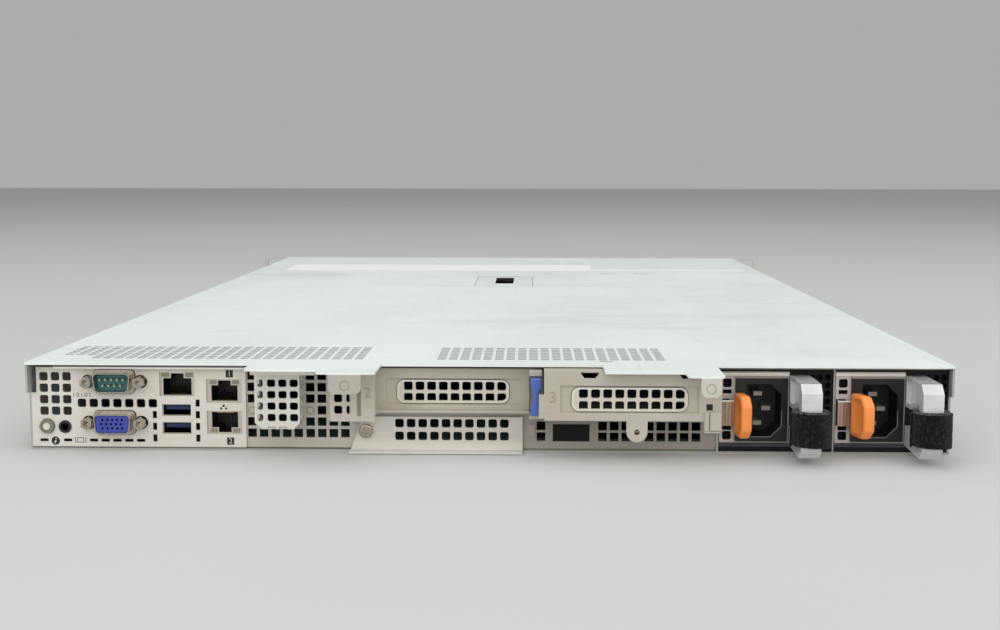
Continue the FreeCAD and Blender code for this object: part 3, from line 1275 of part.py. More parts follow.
# Drive carriers: bezel, two rails and the disk between them, and a lever in the bezel's well
for number in (1, 2, 3, 4):
    place = (f"{number - 2.5} * {bay_pitch}", front, "gauge + slip")
    edge = "(carrier_width / 2)"
    well_floor = "(bezel_front - well_depth)"
    arm_across = f"(-{edge} + well_left + arm_pin_inset)"
    arm_along = "(bezel_front - arm_gauge / 2)"

    carrier = Piece(f"drive_carrier_{number}", place)
    carrier.pad("Y", "bezel_rear", "bezel_front", box(f"-{edge}", "0", edge, "carrier_height"))
    carrier.cut("Y", well_floor, "bezel_front", box(
        f"-{edge} + well_left", "well_low", f"{edge} - well_right", "well_high"))
    carrier.cut("Z", "well_low - arm_pin_long - slip", "well_high + arm_pin_long + slip",
                Disc(arm_across, arm_along, "arm_pin + pin_fit"))
    breather = carrier.cut("Y", "bezel_rear", well_floor, centred(
        "-3 * bezel_slot_pitch", "well_low + bezel_slot_height", "bezel_slot_width", "bezel_slot_height"))
    carrier.grid(breather, columns=7, pitch="bezel_slot_pitch", rows=3, row_pitch="bezel_slot_height * 2")
    for low_side, high_side in ((f"-{edge}", f"-{edge} + rail_gauge"), (f"{edge} - rail_gauge", edge)):
        carrier.pad("X", low_side, high_side, box("-carrier_long", "0", "bezel_rear", "rail_height"))
    carrier.pad("Y", "-disk_long", "-slip", centred(
        "0", "disk_lift + disk_height / 2", "disk_width", "disk_height"))

    arm = Piece(f"drive_lever_{number}", place)
    arm.pad("Z", "well_low + slip", "well_high - slip", box(
        f"{arm_across} - arm_gauge / 2", "bezel_front - arm_gauge", f"{edge} - well_right - gauge",
        "bezel_front", "arm_gauge / 2 - pin_fit"))
    groove = arm.cut("Y", "bezel_front - arm_groove_depth", "bezel_front", centred(
        f"{edge} - well_right - arm_groove_inset", "(well_low + well_high) / 2", "arm_groove",
        "(well_high - well_low) * 2 / 3"))
    arm.grid(groove, columns=6, pitch="arm_groove_pitch")
    arm.pad("Z", "well_low - arm_pin_long", "well_low + slip", Disc(arm_across, arm_along, "arm_pin"))
    arm.pad("Z", "well_high - slip", "well_high + arm_pin_long", Disc(arm_across, arm_along, "arm_pin"))

# Backplane: the drive board behind the bays, slotted for air
backplane = Piece("backplane")
backplane.pad("Y", f"{plane_front} - backplane_gauge", plane_front,
              box(f"-{inner} + slip", "gauge", f"{inner} - slip", "backplane_high"))
air_slot = backplane.cut("Y", f"{plane_front} - backplane_gauge", plane_front, centred(
    f"-1.5 * {bay_pitch}", "chassis_height / 2 - backplane_slot_rise", "backplane_slot", "vent_pitch"))
backplane.grid(air_slot, columns=4, pitch=bay_pitch, rows=3, row_pitch="backplane_slot_rise")

# Motherboard: the stepped board with its processor sockets, memory sockets and power connectors
bank_starts = (("-bank_outer - 5 * slot_pitch", 6), ("-bank_inner", 12), ("bank_outer", 6))
slot_middle = f"({rear} + cpu_along)"
slot_top = f"({board_top} + slot_rise)"
board = Piece("motherboard")
board_right = "(bay_left - gauge - board_edge)"
board.pad("Z", "board_low", board_top, loop(
    ("board_left", f"{rear} + board_rear"), (board_right, f"{rear} + board_rear"),
    (board_right, f"{rear} + bay_depth + board_edge"), ("-board_left", f"{rear} + bay_depth + board_edge"),
    ("-board_left", f"{rear} + board_front"), ("board_left", f"{rear} + board_front")))
board.pad("Z", board_top, f"{board_top} + cpu_high", *[
    centred(f"{side} * cpu_across", slot_middle, "cpu_width", "cpu_long") for side in ("-1", "1")])
for bank_start, bank_count in bank_starts:
    memory_slot = board.pad("Z", board_top, slot_top, centred(
        bank_start, slot_middle, "slot_width", "slot_long"))
    board.grid(memory_slot, columns=bank_count, pitch="slot_pitch")
    key = board.cut("Z", f"{slot_top} - slot_key", slot_top, centred(
        bank_start, slot_middle, "memory_gauge + 2 * memory_fit", "memory_long + 2 * memory_fit"))
    board.grid(key, columns=bank_count, pitch="slot_pitch")
board.pad("Z", board_top, f"{board_top} + feed_high", *[
    box(f"bay_left + {count} * psu_pitch + (psu_pitch - feed_width) / 2", f"{rear} + bay_depth + board_edge",
        f"bay_left + {count} * psu_pitch + (psu_pitch + feed_width) / 2",
        f"{rear} + bay_depth + board_edge + feed_high") for count in (0, 1)])
board.pad("Y", f"{rear} + psu_length + feed_gap", f"{rear} + bay_depth + board_edge", *[
    box(f"bay_left + {count} * psu_pitch + (psu_pitch - feed_width) / 2", board_top,
        f"bay_left + {count} * psu_pitch + (psu_pitch + feed_width) / 2", f"{board_top} + feed_high")
    for count in (0, 1)])

# Memory modules: thin boards that stand in the sockets
memory = Piece("memory_modules")
for bank_start, bank_count in bank_starts:
    module = memory.pad("Z", f"{slot_top} - slot_key", f"{slot_top} - slot_key + memory_rise", centred(
        bank_start, slot_middle, "memory_gauge", "memory_long"))
    memory.grid(module, columns=bank_count, pitch="slot_pitch")

# Heatsinks: two finned blocks on the processors
sinks = Piece("heatsinks")
sink_low = f"({board_top} + cpu_high)"
for side in ("-1", "1"):
    middle = f"{side} * cpu_across"
    sinks.pad("Z", sink_low, f"{sink_low} + sink_base", centred(
        middle, slot_middle, "sink_width", "sink_long"))
    fin = sinks.pad("Z", f"{sink_low} + sink_base", f"{sink_low} + sink_base + sink_fin", centred(
        f"{middle} - 9 * sink_fin_pitch", slot_middle, "sink_fin_gauge", "sink_long"))
    sinks.grid(fin, columns=19, pitch="sink_fin_pitch")

# Fans: six square housings on the floor, each with a motor base on crossed arms, and six rotors
housings = Piece("fan_housings")
fan_middle = f"({rear} + fan_along)"
fan_up = "(gauge + fan_size / 2)"
base_rear = f"({fan_middle} + fan_front + fan_base_gap)"
for number in (1, 2, 3, 4, 5, 6):
    fan_across = f"({number - 3.5} * fan_pitch)"
    housings.pad("Y", f"{fan_middle} - fan_long / 2", f"{fan_middle} + fan_long / 2",
                 centred(fan_across, fan_up, "fan_size", "fan_size"), Disc(fan_across, fan_up, "fan_bore"))
    housings.pad("Y", base_rear, f"{base_rear} + fan_base",
                 centred(fan_across, fan_up, "fan_arm", "2 * fan_bore + gauge"))
    housings.pad("Y", base_rear, f"{base_rear} + fan_base",
                 centred(fan_across, fan_up, "2 * fan_bore + gauge", "fan_arm"))
    housings.pad("Y", base_rear, f"{base_rear} + fan_base", Disc(fan_across, fan_up, "fan_hub"))
    housings.cut("Y", base_rear, f"{base_rear} + fan_base", Disc(fan_across, fan_up, "fan_shaft + pin_fit"))

    rotor = Piece(f"fan_rotor_{number}", (fan_across, fan_middle, fan_up))
    rotor.pad("Y", "-fan_rear", "fan_front", Disc("0", "0", "fan_hub"))
    rotor.pad("Y", "fan_front", "fan_front + fan_base_gap + fan_base", Disc("0", "0", "fan_shaft"))
    blade_ends = [rotor.sketch("X", station, [loop(
        (f"-fan_rear + fan_blade", f"-{lean}"), (f"-fan_rear + 2 * fan_blade", f"-{lean}"),
        (f"fan_front - fan_blade", lean), (f"fan_front - 2 * fan_blade", lean))])
        for station, lean in (("fan_hub - 2 * fan_blade", "fan_tip_lean"),
                              ("fan_tip - fan_blade", "fan_root_lean"))]
    blade = rotor.add("PartDesign::AdditiveLoft")
    blade.Profile = blade_ends[0]
    blade.Sections = [blade_ends[1]]
    blade.Ruled = True
    around = rotor.add("PartDesign::PolarPattern")
    around.Originals = [blade]
    around.Axis = (next(item for item in rotor.body.Origin.OriginFeatures if item.Role == "Y_Axis"), [""])
    around.Angle = 360
    around.Occurrences = 7
    rotor.body.Tip = around

doc.recompute()

for item in doc.Objects:
    if "Invalid" in item.State or "Error" in item.State:
        raise RuntimeError("%s did not build: %s" % (item.Name, item.State))
    if item.TypeId == "PartDesign::Pocket" and item.Shape.Volume >= item.BaseFeature.Shape.Volume - 1e-6:
        raise RuntimeError("%s cuts nothing" % item.Name)
for body in pieces:
    if body.Shape.isNull() or not body.Shape.isValid() or not body.Shape.Solids:
        raise RuntimeError("%s has no valid solid" % body.Label)

os.makedirs("parts", exist_ok=True)
for body in pieces:
    body.Shape.exportStep("parts/%s.step" % body.Label)
    print(body.Label, len(body.Shape.Solids), "solids", round(body.Shape.Volume), "mm3")
print(len(pieces), "pieces")
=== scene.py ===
import math
import random

import bmesh
import bpy
from mathutils import Matrix, Vector


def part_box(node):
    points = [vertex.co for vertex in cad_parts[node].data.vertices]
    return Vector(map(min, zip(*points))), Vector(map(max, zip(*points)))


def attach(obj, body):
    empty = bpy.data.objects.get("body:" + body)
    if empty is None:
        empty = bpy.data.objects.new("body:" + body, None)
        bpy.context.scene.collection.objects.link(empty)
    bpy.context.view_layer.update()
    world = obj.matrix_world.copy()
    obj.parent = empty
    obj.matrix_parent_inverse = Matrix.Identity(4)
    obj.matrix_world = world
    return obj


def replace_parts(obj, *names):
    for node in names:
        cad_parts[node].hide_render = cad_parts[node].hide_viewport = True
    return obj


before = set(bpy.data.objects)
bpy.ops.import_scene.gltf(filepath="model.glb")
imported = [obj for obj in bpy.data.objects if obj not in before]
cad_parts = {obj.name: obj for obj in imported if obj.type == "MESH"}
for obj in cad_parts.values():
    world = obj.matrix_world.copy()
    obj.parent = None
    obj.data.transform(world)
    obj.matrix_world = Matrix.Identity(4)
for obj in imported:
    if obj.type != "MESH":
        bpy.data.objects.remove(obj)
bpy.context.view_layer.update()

# Chassis tray and supply cage: hot-dip galvanised steel sheet, folded, punched and riveted together.
# The zinc has a faint crystal spangle, a brushed grain along the chassis and smears from handling.
MM = 0.001
SHEET_METALLIC = 0.16


def tone(code):
    """A colour given as six hex digits, in the linear numbers that a shader takes."""
    parts = [int(code[i:i + 2], 16) / 255 for i in (0, 2, 4)]
    return tuple(((p + 0.055) / 1.055) ** 2.4 if p > 0.04 else p / 12.92 for p in parts)


class Wire:
    """One socket of a finish. Arithmetic on it adds Math nodes, so a pattern reads as a formula."""

    def __init__(self, finish, socket):
        self.finish = finish
        self.socket = socket

    def maths(self, operation, *values):
        return self.finish.node("ShaderNodeMath", dict(enumerate(values)), operation=operation)

    def __add__(self, other):
        return self.maths("ADD", self, other)

    def __sub__(self, other):
        return self.maths("SUBTRACT", self, other)

    def __rsub__(self, other):
        return self.maths("SUBTRACT", other, self)

    def __mul__(self, other):
        return self.maths("MULTIPLY", self, other)

    def __gt__(self, other):
        return self.maths("GREATER_THAN", self, other)

    def __lt__(self, other):
        return self.maths("LESS_THAN", self, other)

    __radd__ = __add__
    __rmul__ = __mul__

    def at_least(self, other):
        return self.maths("MAXIMUM", self, other)

    def unsigned(self):
        return self.maths("ABSOLUTE", self)

    def root(self):
        return self.maths("SQRT", self)


class Finish:
    """A surface finish: one Principled shader and the nodes that feed it."""

    def __init__(self, name, **constants):
        self.material = bpy.data.materials.new(name)
        self.material.use_nodes = True
        self.tree = self.material.node_tree
        self.shader = self.tree.nodes["Principled BSDF"]
        self.place = self.node("ShaderNodeTexCoord", out="Object")
        self.x, self.y, self.z = (
            self.node("ShaderNodeSeparateXYZ", {"Vector": self.place}, out=axis) for axis in "XYZ")
        self.set(**constants)

    def feed(self, socket, value):
        if isinstance(value, Wire):
            self.tree.links.new(value.socket, socket)
        elif isinstance(value, tuple) and len(value) == 3 and socket.type == "RGBA":
            socket.default_value = (*value, 1)
        else:
            socket.default_value = value

    def node(self, kind, inputs=None, out=0, **settings):
        """Adds any node: its settings first, then the values or links of its sockets."""
        added = self.tree.nodes.new(kind)
        for name, value in settings.items():
            setattr(added, name, value)
        for name, value in (inputs or {}).items():
            self.feed(added.inputs[name], value)
        return Wire(self, added.outputs[out])

    def set(self, **sockets):
        """Feeds the shader's sockets, named with underscores."""
        for name, value in sockets.items():
            label = name.replace("_", " ").title().replace("Ior", "IOR")
            self.feed(self.shader.inputs[label], value)
        return self

    def mix(self, share, first, second):
        return self.node("ShaderNodeMix", {0: share, 6: first, 7: second}, out=2, data_type="RGBA")

    def noise(self, scale, detail=2.0, stretch=None, rough=0.5):
        place = self.place
        if stretch:
            place = self.node("ShaderNodeMapping", {"Vector": place, "Scale": stretch})
        return self.node("ShaderNodeTexNoise", {"Vector": place, "Scale": scale, "Detail": detail,
                                                "Roughness": rough})

    def ramp(self, value, low, high):
        """0 up to low, 1 from high, smooth between."""
        return self.node("ShaderNodeMapRange", {"Value": value, "From Min": low, "From Max": high},
                         interpolation_type="SMOOTHSTEP")

    def bump(self, height, distance, strength=1.0):
        self.set(Normal=self.node("ShaderNodeBump", {"Height": height, "Distance": distance,
                                                     "Strength": strength}))
        return self


def dress(finish, *names):
    """Gives CAD nodes a finish."""
    for name in names:
        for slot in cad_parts[name].material_slots:
            slot.material = finish.material


def zinc_sheet(name, colour, dark, grain=(1.0, 0.06, 1.0), spangle=0.05):
    """Zinc-plated sheet: a spangle, a brushed grain, smears and fine scratches between two colours."""
    finish = Finish(name, Metallic=SHEET_METALLIC, Specular_IOR_Level=0.25)
    crystal = finish.node("ShaderNodeTexVoronoi", {"Vector": finish.place, "Scale": 170.0}, out="Color")
    crystal = finish.node("ShaderNodeSeparateColor", {"Color": crystal}, out="Red")
    brushed = finish.noise(900.0, 3.0, grain)
    smear = finish.noise(9.0, 5.0, (1.0, 0.6, 1.0), 0.62)
    scratch = finish.ramp(finish.noise(60.0, 2.0, (6.0, 0.22, 4.0)), 0.70, 0.74)
    share = (crystal - 0.5) * spangle + (brushed - 0.5) * 0.18 + (smear - 0.5) * 1.2 + 0.35
    pale = finish.mix(share.at_least(0.0), colour, dark)
    finish.set(Base_Color=finish.mix(scratch * 0.25, pale, dark),
               Roughness=(smear - 0.5) * 0.35 + (brushed - 0.5) * 0.15 + 0.62)
    return finish.bump(brushed * 0.4 + crystal * 0.2 - scratch * 0.5, 0.00003, 0.35)


tray_zinc = zinc_sheet("tray_zinc", tone("b8bab4"), tone("8c8e87"))
dress(tray_zinc, "chassis_tray", "psu_cage")

# Drive cage with its fixed front top: the same galvanised sheet, dimpled over the drive bays and riveted in.
# A long bare paper label is stuck along the top, with a narrower tail to the right.
CAGE_TOP = 42.7
PAPER_LEFT, PAPER_RIGHT, PAPER_REAR, PAPER_FRONT = -192.0, 74.0, 192.0, 262.0
TAIL_RIGHT, TAIL_REAR, TAIL_FRONT = 205.0, 196.0, 212.0


def between(value, low, high):
    """1 where a coordinate lies between two stations in millimetres."""
    return (value > low * MM) * (value < high * MM)


def patch(finish, mask, colour):
    """Lays a colour over a finish where a mask is 1."""
    ground = Wire(finish, finish.shader.inputs["Base Color"].links[0].from_socket)
    finish.set(Base_Color=finish.mix(mask, ground, colour))


cage_zinc = zinc_sheet("cage_zinc", tone("f0f4ee"), tone("c8d0c8"))
paper_body = between(cage_zinc.x, PAPER_LEFT, PAPER_RIGHT) * between(cage_zinc.y, PAPER_REAR, PAPER_FRONT)
paper_tail = between(cage_zinc.x, PAPER_RIGHT, TAIL_RIGHT) * between(cage_zinc.y, TAIL_REAR, TAIL_FRONT)
paper = (paper_body + paper_tail) * (cage_zinc.z > CAGE_TOP * MM)
patch(cage_zinc, paper, cage_zinc.mix(cage_zinc.noise(40.0, 4.0), tone("fdfdfb"), tone("eeeee9")))
cage_zinc.set(Metallic=(1 - paper) * SHEET_METALLIC)
dress(cage_zinc, "drive_cage")

# Connector panel: plated steel sheet in a warm grey, punched in a grid and fixed across the tray's rear.
# Its top is folded back under the edge of the cover: the fold is painted with a highlight, with a thin line of
# painted shade above it, and painted shade runs along its foot.
CROSS_GRAIN = (0.08, 1.0, 1.0)
FOOT_HEIGHT = 1.7
FOLD_PLANE, FOLD_LOW, FOLD_SHADED = -357.0, 39.0, 40.4
SHADE, SHADE_DEPTH = tone("3b3934"), 0.85
warm_sheet = zinc_sheet("warm_sheet", tone("e6e2d9"), tone("bab5ab"), CROSS_GRAIN, 0.03)
patch(warm_sheet, (warm_sheet.z < FOOT_HEIGHT * MM) * SHADE_DEPTH, SHADE)
top_fold = (warm_sheet.y < FOLD_PLANE * MM) * (warm_sheet.z > FOLD_LOW * MM)
patch(warm_sheet, top_fold, tone("f2f0ea"))
patch(warm_sheet, top_fold * (warm_sheet.z > FOLD_SHADED * MM) * SHADE_DEPTH, SHADE)
dress(warm_sheet, "io_panel")

# Rear wall: perforated plated sheet beside the connector panel, folded at its foot and fixed to the tray.
# Painted shade runs along its foot, and it is duller towards the power supplies.
DULL_FROM, DULL_TO = -30.0, 25.0
wall_sheet = zinc_sheet("wall_sheet", tone("cbc6bc"), tone("a09a8f"), CROSS_GRAIN, 0.03)
patch(wall_sheet, (wall_sheet.z < FOOT_HEIGHT * MM) * SHADE_DEPTH, SHADE)
patch(wall_sheet, wall_sheet.ramp(wall_sheet.x, DULL_FROM * MM, DULL_TO * MM) * 0.55, tone("87827a"))
dress(wall_sheet, "rear_wall")

# Vent box and lower slot panel: brighter plated sheet, folded and perforated.
# The box is riveted to the rear wall, and the panel is held by one screw, with painted shade over the upper right
# of its face, under the slot 2 cage.
SHADED_FROM, SHADED_TO = -75.0, -20.0
SHADED_LOW, SHADED_HIGH = 2.5, 8.0
bright_sheet = zinc_sheet("bright_sheet", tone("e2dfd6"), tone("b9b5ab"), CROSS_GRAIN, 0.03)
# Painted shade, darker towards the right and upwards.
under_cage_shade = (bright_sheet.ramp(bright_sheet.x, SHADED_FROM * MM, SHADED_TO * MM)
           * bright_sheet.ramp(bright_sheet.z, SHADED_LOW * MM, SHADED_HIGH * MM))
patch(bright_sheet, under_cage_shade * 0.5, tone("aaa79f"))
dress(bright_sheet, "vent_box", "lower_panel")

# Riser cages and slot blanks: plated sheet, folded into cages over the riser cards, with a blank in each slot.
# The pad of each blank is stamped, so its edge is a soft bend; the pad carries a painted highlight, brighter along
# the crest of the bend, and a painted shade line along its foot.
PAD_HALF_WIDTH = 26.35
PAD_HALF_HEIGHT = 5.45
PAD_CORNER = 3.6
PAD_HEIGHT = 28.95
SLOT_MIDDLES = (-15.95, 65.75)
FOOT_SHADE_BAND, CREST_HIGHLIGHT_BAND = (0.0, 0.55), (-0.8, -0.05)
HOLLOW_REAR, HOLLOW_ACROSS, HOLLOW_HEIGHT = -374.6, (27.3, 99.1), (19.5, 40.7)
CREST = tone("efeade")
blank_sheet = zinc_sheet("blank_sheet", tone("cbc5b8"), tone("9f988a"), CROSS_GRAIN, 0.02)
for slot_middle in SLOT_MIDDLES:
    past_side = (blank_sheet.x - slot_middle * MM).unsigned() - (PAD_HALF_WIDTH - PAD_CORNER) * MM
    past_top = (blank_sheet.z - PAD_HEIGHT * MM).unsigned() - (PAD_HALF_HEIGHT - PAD_CORNER) * MM
    past_side, past_top = past_side.at_least(0.0), past_top.at_least(0.0)
    from_pad = (past_side * past_side + past_top * past_top).root() - PAD_CORNER * MM
    # The pad's face is painted lighter as a highlight.
    patch(blank_sheet, (from_pad < 0.0) * 0.3, CREST)
    patch(blank_sheet, between(from_pad, *FOOT_SHADE_BAND) * 0.5, tone("6f6a5f"))
    patch(blank_sheet, between(from_pad, *CREST_HIGHLIGHT_BAND) * 0.55, CREST)
# Painted shade inside the slot 3 cage, on the back of its blank and the cage's inner walls.
cage_inside_shade = ((blank_sheet.y > HOLLOW_REAR * MM) * between(blank_sheet.x, *HOLLOW_ACROSS)
               * between(blank_sheet.z, *HOLLOW_HEIGHT))
patch(blank_sheet, cage_inside_shade, tone("161615"))
dress(blank_sheet, "riser_two_cage", "slot_two_filler", "riser_three_cage", "slot_three_filler")

# Legends: port numbers and signs screen-printed in black on the panel, and slot numbers stamped into the cages.
# The digits stand a few hundredths of a millimetre proud, as thick ink or a coined edge does.
PANEL_FACE = -356.0
INK_THICK = 0.04
CAPITAL_SHARE = 0.7
PORT_NUMBER_ACROSS = -121.6
PLATE_HALF_WIDTH, PLATE_HALF_HEIGHT = 1.7, 1.75
STAMP_DEEP = 0.5
SCREEN_BARS = ((-195.9, 3.4, -195.6, 6.2), (-190.9, 3.4, -190.6, 6.2),
               (-194.9, 3.6, -191.6, 3.9), (-194.9, 5.7, -191.6, 6.0),
               (-194.9, 3.9, -194.6, 5.7), (-191.9, 3.9, -191.6, 5.7))
INFO_ACROSS, INFO_HEIGHT, INFO_RADIUS = -205.2, 4.4, 2.0
STROKE_HALF, STROKE_LEAN = 0.35, 0.22
NETWORK_DOTS = ((-124.6, 21.6, 0.55), (-125.8, 20.3, 0.5), (-123.4, 20.3, 0.5))
ink = Finish("legend_ink", Roughness=0.55)
ink.set(Base_Color=ink.mix(ink.noise(900.0), tone("0a0a0a"), tone("171615")))
pale_ink = Finish("legend_pale", Roughness=0.6)
pale_ink.set(Base_Color=pale_ink.mix(pale_ink.noise(900.0), tone("d8d4ca"), tone("b9b4a8")))


def add_piece(name, mesh, finish, body, smooth=False):
    """Turns a finished mesh into a piece that rides on a body."""
    data = bpy.data.meshes.new(name)
    mesh.to_mesh(data)
    mesh.free()
    data.materials.append(finish.material)
    for face in data.polygons:
        face.use_smooth = smooth
    piece = bpy.data.objects.new(name, data)
    bpy.context.scene.collection.objects.link(piece)
    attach(piece, body)
    return piece


def ease(mesh, edges, radius, steps):
    """Rounds edges by a radius in millimetres."""
    bmesh.ops.bevel(mesh, geom=edges, offset=radius * MM, affect="EDGES", segments=steps, profile=0.5,
                    material=-1)


def add_block(mesh, low, high, round_by=0.0, steps=2):
    """A box between two corners in millimetres, with its edges rounded."""
    low, high = Vector(low) * MM, Vector(high) * MM
    corners = bmesh.ops.create_cube(mesh, size=1.0)["verts"]
    bmesh.ops.scale(mesh, vec=high - low, verts=corners)
    bmesh.ops.translate(mesh, vec=(low + high) / 2, verts=corners)
    if round_by:
        ease(mesh, list({edge for corner in corners for edge in corner.link_edges}), round_by, steps)
    return corners


def print_bar(mesh, left, low, right, high):
    """A bar of ink on the connector panel."""
    add_block(mesh, (left, PANEL_FACE - INK_THICK, low), (right, PANEL_FACE, high))


def add_digits(name, text, height, place, finish, thick=0.06, spacing=1.0):
    """Digits that face the rear, centred on a place in millimetres."""
    curve = bpy.data.curves.new(name, "FONT")
    curve.body = text
    curve.size = height * MM / CAPITAL_SHARE
    curve.space_character = spacing
    curve.align_x = "CENTER"
    curve.align_y = "CENTER"
    curve.extrude = thick * MM / 2
    holder = bpy.data.objects.new(name + "_curve", curve)
    bpy.context.scene.collection.objects.link(holder)
    data = bpy.data.meshes.new_from_object(holder)
    bpy.data.objects.remove(holder)
    data.transform(Matrix.Translation(Vector(place) * MM) @ Matrix.Rotation(math.pi / 2, 4, "X"))
    mesh = bmesh.new()
    mesh.from_mesh(data)
    bpy.data.meshes.remove(data)
    bmesh.ops.remove_doubles(mesh, verts=mesh.verts, dist=1e-7)
    return add_piece(name, mesh, finish, "chassis")


for digit, height in (("1", 36.9), ("2", 4.6)):
    plate = bmesh.new()
    print_bar(plate, PORT_NUMBER_ACROSS - PLATE_HALF_WIDTH, height - PLATE_HALF_HEIGHT,
              PORT_NUMBER_ACROSS + PLATE_HALF_WIDTH, height + PLATE_HALF_HEIGHT)
    add_piece(f"port_plate_{digit}", plate, ink, "chassis")
    add_digits(f"port_number_{digit}", digit, 2.5, (PORT_NUMBER_ACROSS, PANEL_FACE - 0.05, height), pale_ink)
add_digits("serial_sign", "10101", 2.0, (-192.0, PANEL_FACE, 26.4), ink, spacing=1.35)
stamped = zinc_sheet("stamped_digit", tone("b4aea1"), tone("8f887b"))
add_digits("slot_number_2", "2", 5.0, (-54.7, PANEL_FACE - 13.0, 30.2), stamped, STAMP_DEEP)
add_digits("slot_number_3", "3", 5.2, (30.6, PANEL_FACE - 20.0, 29.6), stamped, STAMP_DEEP)
screen_sign = bmesh.new()
for left, low, right, high in SCREEN_BARS:
    print_bar(screen_sign, left, low, right, high)
add_piece("screen_sign", screen_sign, ink, "chassis")
dot_sign = bmesh.new()
bmesh.ops.create_cone(dot_sign, segments=32, cap_ends=True, radius1=INFO_RADIUS * MM,
                      radius2=INFO_RADIUS * MM, depth=INK_THICK * MM,
                      matrix=Matrix.Translation(Vector((INFO_ACROSS, PANEL_FACE - INK_THICK / 2, INFO_HEIGHT)) * MM)
                      @ Matrix.Rotation(math.pi / 2, 4, "X"))
add_piece("dot_sign", dot_sign, ink, "chassis")
stroke_sign = bmesh.new()
for low, high in ((-1.25, 0.35), (0.75, 1.3)):
    add_block(stroke_sign, (INFO_ACROSS - STROKE_HALF, PANEL_FACE - 0.07, INFO_HEIGHT + low),
              (INFO_ACROSS + STROKE_HALF, PANEL_FACE - 0.03, INFO_HEIGHT + high))
bmesh.ops.rotate(stroke_sign, cent=Vector((INFO_ACROSS, PANEL_FACE, INFO_HEIGHT)) * MM,
                 matrix=Matrix.Rotation(STROKE_LEAN, 3, "Y"), verts=stroke_sign.verts)
add_piece("dot_sign_stroke", stroke_sign, pale_ink, "chassis")
node_sign = bmesh.new()
for across, height, size in NETWORK_DOTS:
    print_bar(node_sign, across - size, height - size, across + size, height + size)
add_piece("node_sign", node_sign, ink, "chassis")

# Wall rivets: two hollow steel rivets that hold the vent box to the rear wall.
# Each has a rolled rim, where the setting tool turned it over.
RIM_ACROSS, RIM_HEIGHT = (-111.3, -83.6), 19.5
RIM_RADIUS, RIM_THICK = 1.5, 0.42
rims = bmesh.new()
for across in RIM_ACROSS:
    middle = Vector((across, PANEL_FACE + 0.75, RIM_HEIGHT))
    ring = bmesh.ops.create_circle(rims, cap_ends=False, radius=RIM_THICK * MM, segments=10)["verts"]
    bmesh.ops.translate(rims, vec=(middle + Vector((RIM_RADIUS, 0, 0))) * MM, verts=ring)
    edges = list({edge for vert in ring for edge in vert.link_edges})
    bmesh.ops.spin(rims, geom=edges, cent=middle * MM, axis=(0, 1, 0), dvec=(0, 0, 0), angle=2 * math.pi,
                   steps=24, use_merge=True)
bmesh.ops.recalc_face_normals(rims, faces=rims.faces)
rivet_steel = zinc_sheet("rivet_steel", tone("b8b4aa"), tone("837e74"))
add_piece("wall_rivets", rims, rivet_steel, "chassis", True)

# Bare label: a matt black plastic film, stuck to the rear wall under slot 3.
# It is cut with square corners and lies flat.
LABEL_LEFT, LABEL_RIGHT, LABEL_LOW, LABEL_HIGH, LABEL_ROUND = 31.1, 48.5, 5.2, 13.4, 0.04
label = bmesh.new()
add_block(label, (LABEL_LEFT, PANEL_FACE + 0.88, LABEL_LOW), (LABEL_RIGHT, PANEL_FACE + 1.0, LABEL_HIGH),
          LABEL_ROUND)
label_black = Finish("label_black", Specular_IOR_Level=0.2)
label_grain = label_black.noise(900.0, 2.0)
label_black.set(Base_Color=label_black.mix(label_grain, tone("0a0a0b"), tone("161618")),
                Roughness=label_grain * 0.2 + 0.5)
add_piece("bare_label", label, label_black, "chassis")

# Port shells, jackposts and the USB block: drawn steel and turned brass, plated with nickel.
# The shells are soldered to the board and come out through the panel, and the posts clamp them to it.
REAR = PANEL_FACE * MM
USB_LIP = 1.3


def plating(name, colour, rough):
    """Bright plated metal, slightly clouded."""
    finish = Finish(name, Metallic=1.0)
    cloud = finish.noise(260.0, 3.0)
    speck = finish.noise(1800.0, 2.0)
    finish.set(Base_Color=finish.mix(cloud, colour, tuple(part * 0.72 for part in colour)),
               Roughness=(cloud - 0.5) * 0.25 + rough)
    return finish.bump(speck, 0.00002, 0.2)


nickel = plating("nickel", tone("bdb5a7"), 0.22)
dress(nickel, "serial_shell", "vga_shell", "port_jackposts")
usb_shell = plating("usb_shell", tone("b3ada2"), 0.3)
# Deeper than its mouth, the USB shell is painted near black as the shade inside the ports.
usb_mouth = usb_shell.y < REAR + USB_LIP * MM
usb_shell.set(Base_Color=usb_shell.mix(usb_mouth, tone("101011"), tone("b3ada2")))
dress(usb_shell, "usb_ports")

# Port inserts: moulded plastic, teal round the serial pins and blue-violet round the video contacts.
# The pins are bare metal, pressed through the serial insert.
PIN_ROOT = 1.05


def moulded(name, colour, rough=0.5, shade=0.75):
    """Moulded plastic: a fine spark-eroded grain and slight flow marks."""
    finish = Finish(name)
    flow = finish.noise(70.0, 3.0)
    fine = finish.noise(2600.0, 2.0)
    finish.flow = finish.mix(flow, colour, tuple(part * shade for part in colour))
    finish.set(Base_Color=finish.flow, Roughness=(flow - 0.5) * 0.2 + (fine - 0.5) * 0.1 + rough)
    return finish.bump(fine, 0.00003, 0.25)


serial_teal = moulded("serial_teal", tone("3d7b7d"), 0.42)
pins = serial_teal.y < REAR - PIN_ROOT * MM
serial_teal.set(Base_Color=serial_teal.mix(pins, serial_teal.flow, tone("b9b196")), Metallic=pins)
dress(serial_teal, "serial_insert")
video_violet = moulded("video_violet", tone("3f48a6"), 0.38)
dress(video_violet, "vga_insert")

# USB tongues: blue moulded plastic that carries the contacts inside the nickel block.
# They are moulded in one with the block's inner body.
usb_blue = moulded("usb_blue", tone("0d2250"), 0.4)
dress(usb_blue, "usb_tongues")

